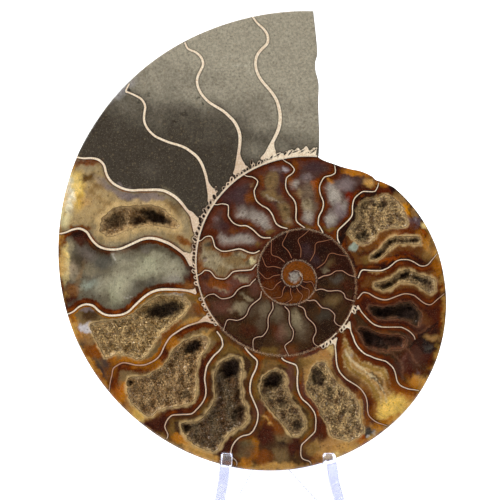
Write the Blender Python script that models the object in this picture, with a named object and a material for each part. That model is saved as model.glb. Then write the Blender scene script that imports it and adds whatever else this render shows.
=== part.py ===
# One half of a cut and polished ammonite, leaning on a clear plastic easel.
# Metres, +Z up, the polished face towards -Y. The origin is under the middle of the whole, on the table.
import math

import bmesh
import bpy
import numpy as np
from mathutils import Matrix, Vector

MM = 0.001

# Where the fossil stands: the coil's centre on the cut face, and how far the face leans back
LEAN = math.radians(17.0)
FRONT_FEET_Y = -33.9 * MM
COIL_CENTRE = Vector((13.2 * MM, FRONT_FEET_Y + 30.2 * MM, 71.6 * MM))

# The coil: radius of the whorl's outer wall, by growth angle in degrees.
# The angle counts on clockwise from +X on the face, and the last whorl runs from 635 to 1001.
WALL_ANGLES = (-360, -270, -180, -90, 0, 90, 180, 270, 300, 330, 360, 390, 420, 450, 480, 510, 540, 570,
               600, 630, 660, 690, 720, 750, 780, 810, 840, 870, 900, 930, 960, 990, 1020)
WALL_RADII_MM = (2.5, 3.0, 3.8, 5.2, 6.8, 8.7, 11.3, 14.9, 16.2, 17.6, 19.2, 20.8, 22.4, 24.6, 26.5, 28.4,
                 30.6, 33.3, 35.8, 38.0, 40.2, 43.5, 47.2, 51.8, 56.1, 60.5, 64.5, 69.0, 73.9, 78.4, 81.5,
                 83.7, 85.7)
FIRST_GROWTH = 641.2
LAST_GROWTH = 994.1
RIM_POINTS = 76

# The broken end, from the rim inwards: growth angle and share of the whorl's height
BROKEN_END = ((994.1, 1.0), (995.1, 0.84), (995.8, 0.71), (996.0, 0.62), (997.2, 0.5), (997.8, 0.38),
              (998.9, 0.25), (999.9, 0.16), (1001.0, 0.04))
END_ON_FLANK_DEG = 6.0

# Just past the broken end the bare inner whorl has lost its outer skin: growth angle and share that is left
BARE_ANGLES = (641, 646, 652, 658, 665, 671, 675, 682)
BARE_SHARES = (0.99, 0.94, 0.92, 0.93, 0.96, 0.94, 0.98, 1.0)

# The flank on the hidden side: thickness as a share of the whorl's radius, then the section from
# the umbilicus out to the rim
FLANK_SHARE = 0.215
UMBILICUS_SHARE = 0.22
SECTION_PLACES = (0.0, 0.05, 0.15, 0.3, 0.5, 0.7, 0.85, 0.93, 0.97, 0.995, 1.0)
SECTION_HEIGHTS = (0.62, 0.8, 0.95, 1.0, 0.94, 0.75, 0.52, 0.38, 0.27, 0.14, 0.0)
THINNEST = 2.2 * MM
FLANK_ROWS = (0.995, 0.975, 0.94, 0.87, 0.76, 0.61, 0.45, 0.33, 0.25, 0.212, 0.15, 0.08)

# The hollows in the face, each from the rim side inwards: (share of whorl height, growth angle from, to),
# and how deep the hollow goes
HOLLOWS = (
    (3.2 * MM, (
        (0.88, 677.5, 690), (0.8, 676.5, 695.5), (0.62, 671.5, 693), (0.5, 673, 692), (0.4, 677, 694),
        (0.3, 678, 695.8), (0.2, 679, 693.5),
    )),
    (3.6 * MM, (
        (0.83, 701.5, 705.5), (0.7, 699.5, 704), (0.6, 698, 702.6), (0.5, 698.5, 703.5),
        (0.4, 701, 706.5), (0.3, 703.5, 708.6), (0.24, 704, 707.5),
    )),
    (4.0 * MM, (
        (0.87, 720.5, 726), (0.8, 719.6, 727), (0.7, 718.6, 724.3), (0.6, 716.2, 723),
        (0.5, 717.4, 723.2), (0.4, 720.6, 726.2), (0.3, 723, 728.8), (0.21, 724, 727),
    )),
    (5.0 * MM, (
        (0.73, 735, 742.4), (0.62, 732.4, 741.5), (0.5, 733.3, 742), (0.4, 736.4, 744.3),
        (0.3, 738.8, 746.2), (0.22, 739.8, 745.6), (0.16, 741, 743.4),
    )),
    (5.0 * MM, (
        (0.64, 748.8, 754), (0.57, 748.8, 756), (0.5, 750, 759.4), (0.4, 753, 762.4), (0.3, 754.3, 764),
        (0.22, 755.2, 761.8), (0.15, 757.2, 760),
    )),
    (3.4 * MM, (
        (0.88, 785.5, 793), (0.8, 785, 796.8), (0.68, 783.2, 797.4), (0.58, 783.2, 799.2),
        (0.5, 784.4, 799.6), (0.4, 787.4, 802.2), (0.3, 789, 803.8), (0.2, 789.6, 801),
        (0.14, 792, 798),
    )),
    (6.0 * MM, (
        (0.69, 807, 811.5), (0.62, 805.4, 813.6), (0.5, 807.2, 819), (0.4, 810.8, 823.8),
        (0.3, 813.2, 827), (0.2, 814.4, 827.2), (0.13, 818, 823.5),
    )),
    (6.5 * MM, (
        (0.9, 834, 843), (0.82, 833.4, 847.6), (0.72, 832.2, 843.6), (0.62, 828.4, 842.8),
        (0.5, 829.4, 843.2), (0.4, 833.2, 846.6), (0.3, 836.2, 850.2), (0.2, 838.6, 850.6),
        (0.12, 842.5, 847.5),
    )),
    (5.0 * MM, (
        (0.91, 856, 864), (0.82, 855.2, 868.6), (0.7, 851.5, 866.4), (0.6, 849, 866),
        (0.5, 851.2, 866.3), (0.4, 855.2, 869), (0.3, 859.2, 869.9), (0.2, 860.8, 868.8),
        (0.14, 863.4, 866.8),
    )),
    (6.0 * MM, (
        (0.86, 876.6, 887), (0.76, 876.2, 887), (0.66, 872, 886.4), (0.58, 872.2, 886.8),
        (0.5, 874, 887.8), (0.4, 876.8, 890.2), (0.3, 878.8, 892), (0.2, 880.6, 891),
        (0.12, 884, 888.6),
    )),
    (6.5 * MM, (
        (0.7, 913, 917.5), (0.62, 912.4, 921.4), (0.5, 916, 924), (0.4, 918.5, 926.6),
        (0.3, 920.4, 927.6), (0.2, 921.6, 925.8), (0.16, 922.8, 924.6),
    )),
)
# Across a hollow: share of its width, and share of its depth there
HOLLOW_SECTION = ((0.0, 0.0), (0.05, 0.5), (0.22, 0.92), (0.5, 1.0), (0.78, 0.92), (0.95, 0.5), (1.0, 0.0))
# How much of its depth a hollow has at its rim end and at its foot, and how fast it grows from there
DEPTH_AT_RIM = 0.45
RIM_STEEPNESS = 0.75
DEPTH_AT_FOOT = 0.5
FOOT_STEEPNESS = 2.5
FLOOR_LEFT = 2.6 * MM
CUTTER_ABOVE = 1.0 * MM

# The crystal crusts
GAP = 0.3 * MM
CRUST_GAP = 0.45 * MM
CRUST_THICK = 0.9 * MM
CRUST_END_SHARE = 0.025
CRUST_END_DEPTH = 0.45
CRYSTAL_HEIGHT = 0.55 * MM
# Where a hollow is narrow, each of these is at most its share of the width there
CRUST_GAP_SHARE = 0.2
CRUST_WALL_SHARE = 0.2
CRYSTAL_SHARE = 0.3

# The easel: two upright plates that meet in a V at the back
PLATE = 3.2 * MM
APEX = Vector((COIL_CENTRE.x - 8.3 * MM, FRONT_FEET_Y + 64.6 * MM))
LEFT_FOOT_X = COIL_CENTRE.x - 24.3 * MM
RIGHT_FOOT_X = COIL_CENTRE.x + 15.3 * MM
POST_RADIUS = 2.7 * MM
POST_START = 1.3 * MM
POST_TOP = 56.4 * MM
BACK_FOOT_WIDE = 32.0 * MM
BACK_FOOT_DEEP = 6.4 * MM
BACK_FOOT_TALL = 5.0 * MM
HOOK_RADIUS = 1.6 * MM
HOOK_FILLET = 0.3 * MM
HOOK_UP_FACE = -56.9 * MM
SEAT_LEFT = -59.9 * MM
SEAT_RIGHT = -58.7 * MM
SEAT_ROUNDING = 2.4 * MM
REST_DEPTH_LEFT = 14.2 * MM
REST_DEPTH_RIGHT = 13.2 * MM
REST_TOP = 6.0 * MM
REST_ROUNDING = 2.6 * MM
BACK_ROUNDING = 3.0 * MM
PLATE_BACK_TOP = 55.7 * MM
SHOULDER_DEG = 68.0
# The front leg's edge from the hook down to the foot: distance behind the foot, and height
LEG_EDGE = ((8.0 * MM, 12.2 * MM), (5.0 * MM, 8.8 * MM), (2.4 * MM, 5.4 * MM), (0.7 * MM, 2.4 * MM))
EDGE_ROUNDING = 0.35 * MM
PLATE_SOLE = 0.1 * MM
FOOT_ROUNDING = 1.4 * MM


def clear_scene():
    for obj in list(bpy.data.objects):
        bpy.data.objects.remove(obj, do_unlink=True)


def new_collection(name):
    collection = bpy.data.collections.new(name)
    bpy.context.scene.collection.children.link(collection)
    return collection


def new_material(name, colour, roughness, metallic=0.0, transmission=0.0, ior=1.5):
    material = bpy.data.materials.new(name)
    material.use_nodes = True
    shader = material.node_tree.nodes["Principled BSDF"]
    shader.inputs["Base Color"].default_value = (*colour, 1.0)
    shader.inputs["Roughness"].default_value = roughness
    shader.inputs["Metallic"].default_value = metallic
    shader.inputs["Transmission Weight"].default_value = transmission
    shader.inputs["IOR"].default_value = ior
    material.diffuse_color = (*colour, 1.0)
    return material


def new_object(name, mesh, collection, material=None):
    obj = bpy.data.objects.new(name, mesh)
    collection.objects.link(obj)
    if material:
        mesh.materials.append(material)
    return obj


def lean_back(obj):
    """Places an object built in the face's own frame: x right, y into the stone, z up the face."""
    obj.location = COIL_CENTRE
    obj.rotation_euler = (-LEAN, 0.0, 0.0)


def to_world(up_face, depth):
    """The world's y and z of a point of the face's frame."""
    y = COIL_CENTRE.y + up_face * math.sin(LEAN) + depth * math.cos(LEAN)
    z = COIL_CENTRE.z + up_face * math.cos(LEAN) - depth * math.sin(LEAN)
    return y, z


def wall_radius(growth):
    return math.exp(np.interp(growth, WALL_ANGLES, np.log(WALL_RADII_MM))) * MM


def radius_at(growth, share):
    inner = wall_radius(growth - 360)
    return inner + share * (wall_radius(growth) - inner)


def on_face(growth, radius, depth=0.0):
    angle = math.radians(growth)
    return Vector((radius * math.cos(angle), depth, -radius * math.sin(angle)))


def outline():
    """Growth angle and radius of each point round the face, clockwise from the bare inner whorl."""
    points = []
    for growth in np.linspace(FIRST_GROWTH + 1.0, LAST_GROWTH, RIM_POINTS)[:-1]:
        share = np.interp(growth, BARE_ANGLES, BARE_SHARES)
        points.append((growth, radius_at(growth, share)))
    for growth, share in BROKEN_END:
        points.append((growth, radius_at(growth, share)))
    return points


def end_growth(radius):
    """How far the last whorl's end reaches on the flank, below the part that the face shows."""
    inner = wall_radius(FIRST_GROWTH)
    return BROKEN_END[-1][0] + END_ON_FLANK_DEG * max(0.0, 1.0 - radius / inner)


def flank_depth(growth, radius):
    """Thickness of the stone behind a point of the face."""
    if growth + 360 < end_growth(radius) and radius < wall_radius(FIRST_GROWTH):
        growth += 360
    while radius < UMBILICUS_SHARE * wall_radius(growth) and growth > WALL_ANGLES[0]:
        growth -= 360
    outer = wall_radius(growth)
    umbilicus = UMBILICUS_SHARE * outer
    place = min(max((radius - umbilicus) / (outer - umbilicus), 0.0), 1.0)
    thickness = FLANK_SHARE * outer * np.interp(place, SECTION_PLACES, SECTION_HEIGHTS)
    return max(THINNEST, thickness)


def make_stone(collection, material):
    """The half: a flat face, and a hidden side lofted in rings from the rim in to the umbilicus."""
    mesh = bpy.data.meshes.new("ammonite_half")
    rim = outline()
    bm = bmesh.new()
    rings = [[bm.verts.new(on_face(growth, radius)) for growth, radius in rim]]
    for share in FLANK_ROWS:
        ring = []
        for growth, radius in rim:
            depth = flank_depth(growth, radius * share)
            ring.append(bm.verts.new(on_face(growth, radius * share, depth)))
        rings.append(ring)
    bm.faces.new(rings[0])
    bm.faces.new(rings[-1])
    count = len(rim)
    for outer, inner in zip(rings, rings[1:]):
        for i in range(count):
            j = (i + 1) % count
            bm.faces.new((outer[i], outer[j], inner[j], inner[i]))
    bmesh.ops.triangulate(bm, faces=[f for f in bm.faces if len(f.verts) > 4])
    bmesh.ops.recalc_face_normals(bm, faces=bm.faces)
    bm.to_mesh(mesh)
    bm.free()
    stone = new_object("ammonite_half", mesh, collection, material)
    lean_back(stone)
    return stone


def loft(name, sections):
    """A closed mesh through sections of equal count, each a closed loop of points, with both ends capped."""
    mesh = bpy.data.meshes.new(name)
    bm = bmesh.new()
    loops = [[bm.verts.new(point) for point in section] for section in sections]
    count = len(loops[0])
    for a, b in zip(loops, loops[1:]):
        for i in range(count):
            j = (i + 1) % count
            bm.faces.new((a[i], a[j], b[j], b[i]))
    bm.faces.new(loops[0])
    bm.faces.new(loops[-1])
    bmesh.ops.triangulate(bm, faces=bm.faces)
    bmesh.ops.recalc_face_normals(bm, faces=bm.faces)
    bm.to_mesh(mesh)
    bm.free()
    return mesh


def row_at(rows, share):
    """The hollow's two sides at one share of the whorl's height."""
    shares = [row[0] for row in reversed(rows)]
    low = np.interp(share, shares, [row[1] for row in reversed(rows)])
    high = np.interp(share, shares, [row[2] for row in reversed(rows)])
    return low, high


def row_depth(deepest, rows, row):
    """A hollow is deepest at its middle and towards the coil's inside, and never comes through the flank."""
    share, low, high = row
    along = (rows[0][0] - share) / (rows[0][0] - rows[-1][0])
    rise = min(1.0, DEPTH_AT_RIM + RIM_STEEPNESS * along, DEPTH_AT_FOOT + FOOT_STEEPNESS * (1.0 - along))
    middle = 0.5 * (low + high)
    behind = min(flank_depth(growth, radius_at(growth, share)) for growth in (low, middle, high))
    return min(deepest * rise, behind - FLOOR_LEFT)


def hollow_depth(deepest, rows, share):
    upwards = rows[::-1]
    return np.interp(share, [row[0] for row in upwards], [row_depth(deepest, rows, row) for row in upwards])


def across(low, high, share, inset, place, depth):
    """A point of a hollow's section: place is 0 to 1 between its sides, both moved in by inset."""
    radius = radius_at(0.5 * (low + high), share)
    inset_deg = math.degrees(inset / radius)
    growth = low + inset_deg + place * (high - low - 2 * inset_deg)
    return on_face(growth, radius_at(growth, share), depth)


def make_cutter(name, deepest, rows, collection):
    sections = []
    for share, low, high in rows:
        deep = hollow_depth(deepest, rows, share)
        section = [across(low, high, share, 0.0, place, depth * deep) for place, depth in HOLLOW_SECTION]
        section.append(across(low, high, share, 0.0, 1.0, -CUTTER_ABOVE))
        section.append(across(low, high, share, 0.0, 0.0, -CUTTER_ABOVE))
        sections.append(section)
    cutter = new_object(name, loft(name, sections), collection)
    lean_back(cutter)
    cutter.hide_render = True
    cutter.display_type = "WIRE"
    return cutter


def crust_walls(low, high, share):
    """The gap behind the crust, its thickness and the room left inside, at one row of a hollow."""
    width = math.radians(high - low) * radius_at(0.5 * (low + high), share)
    gap = min(CRUST_GAP, CRUST_GAP_SHARE * width)
    thick = min(CRUST_THICK, CRUST_WALL_SHARE * width)
    return gap, thick, width - 2 * gap - 2 * thick


def make_crust(name, deepest, rows, collection, material):
    """A trough that lines its hollow, with a pyramid of crystal on each facet of its inside."""
    top, bottom = rows[0][0] - CRUST_END_SHARE, rows[-1][0] + CRUST_END_SHARE
    sections = []
    rooms = []
    own = [row[0] for row in rows[1:-1]]
    shares = [top] + own + [0.5 * (a + b) for a, b in zip(own, own[1:])] + [bottom]
    for share in sorted(shares, reverse=True):
        low, high = row_at(rows, share)
        gap, thick, room = crust_walls(low, high, share)
        deep = hollow_depth(deepest, rows, share) - CRUST_GAP
        inside = deep - thick
        if share in (top, bottom):
            inside *= CRUST_END_DEPTH
        outer = []
        inner = []
        for place, depth in HOLLOW_SECTION:
            outer.append(across(low, high, share, gap, place, max(GAP, depth * deep)))
            inner.append(across(low, high, share, gap + thick, place, max(GAP, depth * inside)))
        sections.append(outer + inner[::-1])
        rooms.append(room)
    mesh = bpy.data.meshes.new(name)
    bm = bmesh.new()
    loops = [[bm.verts.new(point) for point in section] for section in sections]
    count = len(loops[0])
    half = len(HOLLOW_SECTION)
    inside_faces = []
    for row, (a, b) in enumerate(zip(loops, loops[1:])):
        for i in range(count):
            j = (i + 1) % count
            face = bm.faces.new((a[i], a[j], b[j], b[i]))
            if half <= i < count - 1:
                inside_faces.append((face, CRYSTAL_SHARE * min(rooms[row], rooms[row + 1])))
    for loop in (loops[0], loops[-1]):
        for i in range(half - 1):
            bm.faces.new((loop[i], loop[i + 1], loop[count - 2 - i], loop[count - 1 - i]))
    bmesh.ops.recalc_face_normals(bm, faces=bm.faces)
    for face, room in inside_faces:
        if face.calc_area() > CRYSTAL_HEIGHT * CRYSTAL_HEIGHT:
            bmesh.ops.poke(bm, faces=[face], offset=min(CRYSTAL_HEIGHT, room))
    bmesh.ops.triangulate(bm, faces=[face for face in bm.faces if len(face.verts) > 3])
    bm.to_mesh(mesh)
    bm.free()
    lean_back(new_object(name, mesh, collection, material))


def combine(target, helper, operation):
    boolean = target.modifiers.new(helper.name, "BOOLEAN")
    boolean.operation = operation
    boolean.object = helper
    boolean.use_self = operation == "DIFFERENCE"


def arc(centre, radius, start, end, steps):
    points = []
    for i in range(steps + 1):
        angle = math.radians(start + (end - start) * i / steps)
        points.append((centre[0] + radius * math.cos(angle), centre[1] + radius * math.sin(angle)))
    return points


def plate_profile(seat, rest_depth):
    """Side view of one plate, as y and z: foot, base, back, rest, seat, hook and front leg."""
    feet = FRONT_FEET_Y
    back = APEX.y + 0.5 * PLATE
    lean = math.degrees(LEAN)
    seat_corner = to_world(seat + SEAT_ROUNDING, rest_depth - SEAT_ROUNDING)
    rest_corner = to_world(REST_TOP, rest_depth + REST_ROUNDING)
    back_corner = (back - BACK_ROUNDING, PLATE_BACK_TOP - BACK_ROUNDING)
    hook = to_world(HOOK_UP_FACE, -GAP - HOOK_RADIUS)
    profile = [(feet, 0.0), (back, 0.0)]
    profile += arc(back_corner, BACK_ROUNDING, 0, SHOULDER_DEG, 4)
    profile += arc(rest_corner, REST_ROUNDING, SHOULDER_DEG, 180 - lean, 5)
    profile += arc(seat_corner, SEAT_ROUNDING, -lean, -90 - lean, 4)
    profile.append(to_world(seat, HOOK_FILLET - GAP))
    profile.append(to_world(seat + HOOK_FILLET, -GAP))
    profile += arc(hook, HOOK_RADIUS, -lean, 180 - lean, 7)
    profile += [(feet + behind, height) for behind, height in LEG_EDGE]
    return profile


def make_plate(name, foot_x, seat, rest_depth, collection, material=None):
    """A plate of the easel: its profile stood up, thickened, and swung in to meet the other at the apex."""
    mesh = bpy.data.meshes.new(name)
    bm = bmesh.new()
    outline_verts = [bm.verts.new((0.0, y, z)) for y, z in plate_profile(seat, rest_depth)]
    face = bm.faces.new(outline_verts)
    grown = bmesh.ops.extrude_face_region(bm, geom=[face])
    moved = [item for item in grown["geom"] if isinstance(item, bmesh.types.BMVert)]
    bmesh.ops.translate(bm, verts=moved, vec=(PLATE, 0.0, 0.0))
    bmesh.ops.translate(bm, verts=bm.verts, vec=(-0.5 * PLATE, 0.0, 0.0))
    bmesh.ops.recalc_face_normals(bm, faces=bm.faces)
    flat_ends = [face for face in bm.faces if abs(face.normal.x) > 0.5]
    edges = dict.fromkeys(edge for face in flat_ends for edge in face.edges)
    sharp = [edge for edge in edges if max(vert.co.z for vert in edge.verts) > PLATE_SOLE]
    bmesh.ops.bevel(bm, geom=sharp, offset=EDGE_ROUNDING, segments=1, affect="EDGES")
    slope = (APEX.x - foot_x) / (APEX.y - FRONT_FEET_Y)
    for vert in bm.verts:
        vert.co.x += foot_x + slope * (vert.co.y - FRONT_FEET_Y)
    bmesh.ops.triangulate(bm, faces=[face for face in bm.faces if len(face.verts) > 4])
    bm.to_mesh(mesh)
    bm.free()
    return new_object(name, mesh, collection, material)


def make_post(collection):
    """The round spine where the two plates meet, standing in the back foot."""
    mesh = bpy.data.meshes.new("easel_post")
    bm = bmesh.new()
    tall = POST_TOP - POST_START
    centre = Matrix.Translation((APEX.x, APEX.y, POST_START + 0.5 * tall))
    bmesh.ops.create_cone(bm, cap_ends=True, segments=20, radius1=POST_RADIUS, radius2=POST_RADIUS,
                          depth=tall, matrix=centre)
    bm.to_mesh(mesh)
    bm.free()
    return new_object("easel_post", mesh, collection)


def make_back_foot(collection):
    """A low bar across the back, wide enough that the fossil's weight stays over the base."""
    mesh = bpy.data.meshes.new("easel_back_foot")
    bm = bmesh.new()
    bmesh.ops.create_cube(bm, size=1.0)
    bmesh.ops.scale(bm, verts=bm.verts, vec=(BACK_FOOT_WIDE, BACK_FOOT_DEEP, BACK_FOOT_TALL))
    bmesh.ops.translate(bm, verts=bm.verts, vec=(APEX.x, APEX.y, 0.5 * BACK_FOOT_TALL))
    upper = [edge for edge in bm.edges if max(vert.co.z for vert in edge.verts) > 0.5 * BACK_FOOT_TALL]
    bmesh.ops.bevel(bm, geom=upper, offset=FOOT_ROUNDING, segments=3, affect="EDGES")
    bm.to_mesh(mesh)
    bm.free()
    return new_object("easel_back_foot", mesh, collection)


def make_easel(collection, helpers, material):
    easel = make_plate("easel", LEFT_FOOT_X, SEAT_LEFT, REST_DEPTH_LEFT, collection, material)
    right = make_plate("easel_right_plate", RIGHT_FOOT_X, SEAT_RIGHT, REST_DEPTH_RIGHT, helpers)
    for piece in (make_post(helpers), right, make_back_foot(helpers)):
        piece.hide_render = True
        piece.display_type = "WIRE"
        combine(easel, piece, "UNION")


def main():
    clear_scene()
    parts = new_collection("Ammonite half on an easel")
    cutters = new_collection("Cutters")
    stone_finish = new_material("fossil_stone", (0.30, 0.17, 0.08), 0.25)
    crystal_finish = new_material("crystal_crust", (0.55, 0.43, 0.28), 0.35)
    plastic_finish = new_material("clear_plastic", (0.93, 0.96, 1.0), 0.04, transmission=1.0, ior=1.49)
    stone = make_stone(parts, stone_finish)
    for number, (deepest, rows) in enumerate(HOLLOWS, start=1):
        cutter = make_cutter(f"hollow_{number:02d}", deepest, rows, cutters)
        combine(stone, cutter, "DIFFERENCE")
        make_crust(f"crystal_crust_{number:02d}", deepest, rows, parts, crystal_finish)
    make_easel(parts, cutters, plastic_finish)


main()
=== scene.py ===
import math

import bpy
import numpy as np
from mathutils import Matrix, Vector, geometry, kdtree


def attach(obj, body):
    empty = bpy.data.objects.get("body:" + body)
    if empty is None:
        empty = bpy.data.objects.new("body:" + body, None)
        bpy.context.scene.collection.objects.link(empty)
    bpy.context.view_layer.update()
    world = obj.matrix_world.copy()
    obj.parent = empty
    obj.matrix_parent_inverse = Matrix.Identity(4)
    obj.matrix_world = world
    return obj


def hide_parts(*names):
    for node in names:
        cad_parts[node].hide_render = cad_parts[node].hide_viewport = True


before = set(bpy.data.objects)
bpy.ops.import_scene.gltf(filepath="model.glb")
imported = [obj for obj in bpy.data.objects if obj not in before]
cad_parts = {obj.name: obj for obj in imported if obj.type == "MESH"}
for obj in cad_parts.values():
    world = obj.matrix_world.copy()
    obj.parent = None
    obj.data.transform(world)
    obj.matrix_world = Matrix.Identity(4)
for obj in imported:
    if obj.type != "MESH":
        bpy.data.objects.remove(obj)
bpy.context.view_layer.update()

mm = 0.001
print("frame loaded")


def rowsOf(text):
    # The rows of a table written as text, with a comma between two rows
    return [[word if word[0].isalpha() else float(word) for word in row.split()] for row in text.split(",")]


# The coil on the cut face. Growth is the angle along the spiral, clockwise from the right, in degrees.
# Share is how far a point lies from the whorl's inner wall (0) to its outer wall (1).
coil = {
    "centre": (13.2, -3.7, 71.6),
    "leanDegrees": 17.0,
    "growths": (-720, -360, -270, -180, -90, 0, 30, 60, 90, 120, 150, 180, 210, 240, 270, 300, 330, 360,
                390, 420, 450, 480, 510, 540, 570, 600, 630, 660, 690, 720, 735, 750, 765, 780, 795, 810,
                825, 840, 855, 870, 885, 900, 915, 930, 945, 960, 975, 990, 1020, 1080),
    "radii": (0.9, 2.52, 2.99, 3.84, 5.23, 6.84, 7.56, 8.13, 8.69, 9.48, 10.43, 11.34, 12.47, 13.64, 14.90,
              16.16, 17.64, 19.25, 20.76, 22.43, 24.60, 26.49, 28.35, 30.65, 33.26, 35.85, 37.96, 40.23,
              43.53, 47.19, 49.39, 51.82, 54.12, 56.13, 58.28, 60.54, 62.59, 64.51, 66.59, 69.05, 71.63,
              73.90, 76.10, 78.44, 80.29, 81.55, 82.59, 83.73, 85.68, 87.6),
    "firstGrowth": 641.4,
    "bareRim": "641 .99,643 .96,646 .94,652 .92,655 .92,658 .93,661 .95,665 .96,668 .96,670 .94,672 .96,"
               "675 .98,678 1",
    "brokenFrom": 994.1,
    "brokenEnd": "995.1 .84,995.9 .71,995.6 .65,995.9 .59,997.2 .5,997.8 .38,998.9 .25,999.9 .16,1001.1 .04",
}

# The first walls inside, all read at the same shares: the growths of each
innerShares = (1, 0.8, 0.7, 0.6, 0.5, 0.35, 0.1)
innerWalls = (
    "31 22 17 16 18 23 28,56 47 42 41 43 48 53,81 72 67 66 68 73 78,111 102 97 96 98 103 108,"
    "138 129 124 123 125 130 135,165 156 151 150 152 157 162,190 182 177 176 178 183 188,"
    "214 206.5 201.5 200.5 203 207.5 212.5,238 231 226 225 227.5 232 237,263 256 251 250 252.5 257 262,"
    "288 282 277 276 279 283.5 288,315 309 304 303 306 310.5 315,339 333 328 327 330 335 339")
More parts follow.
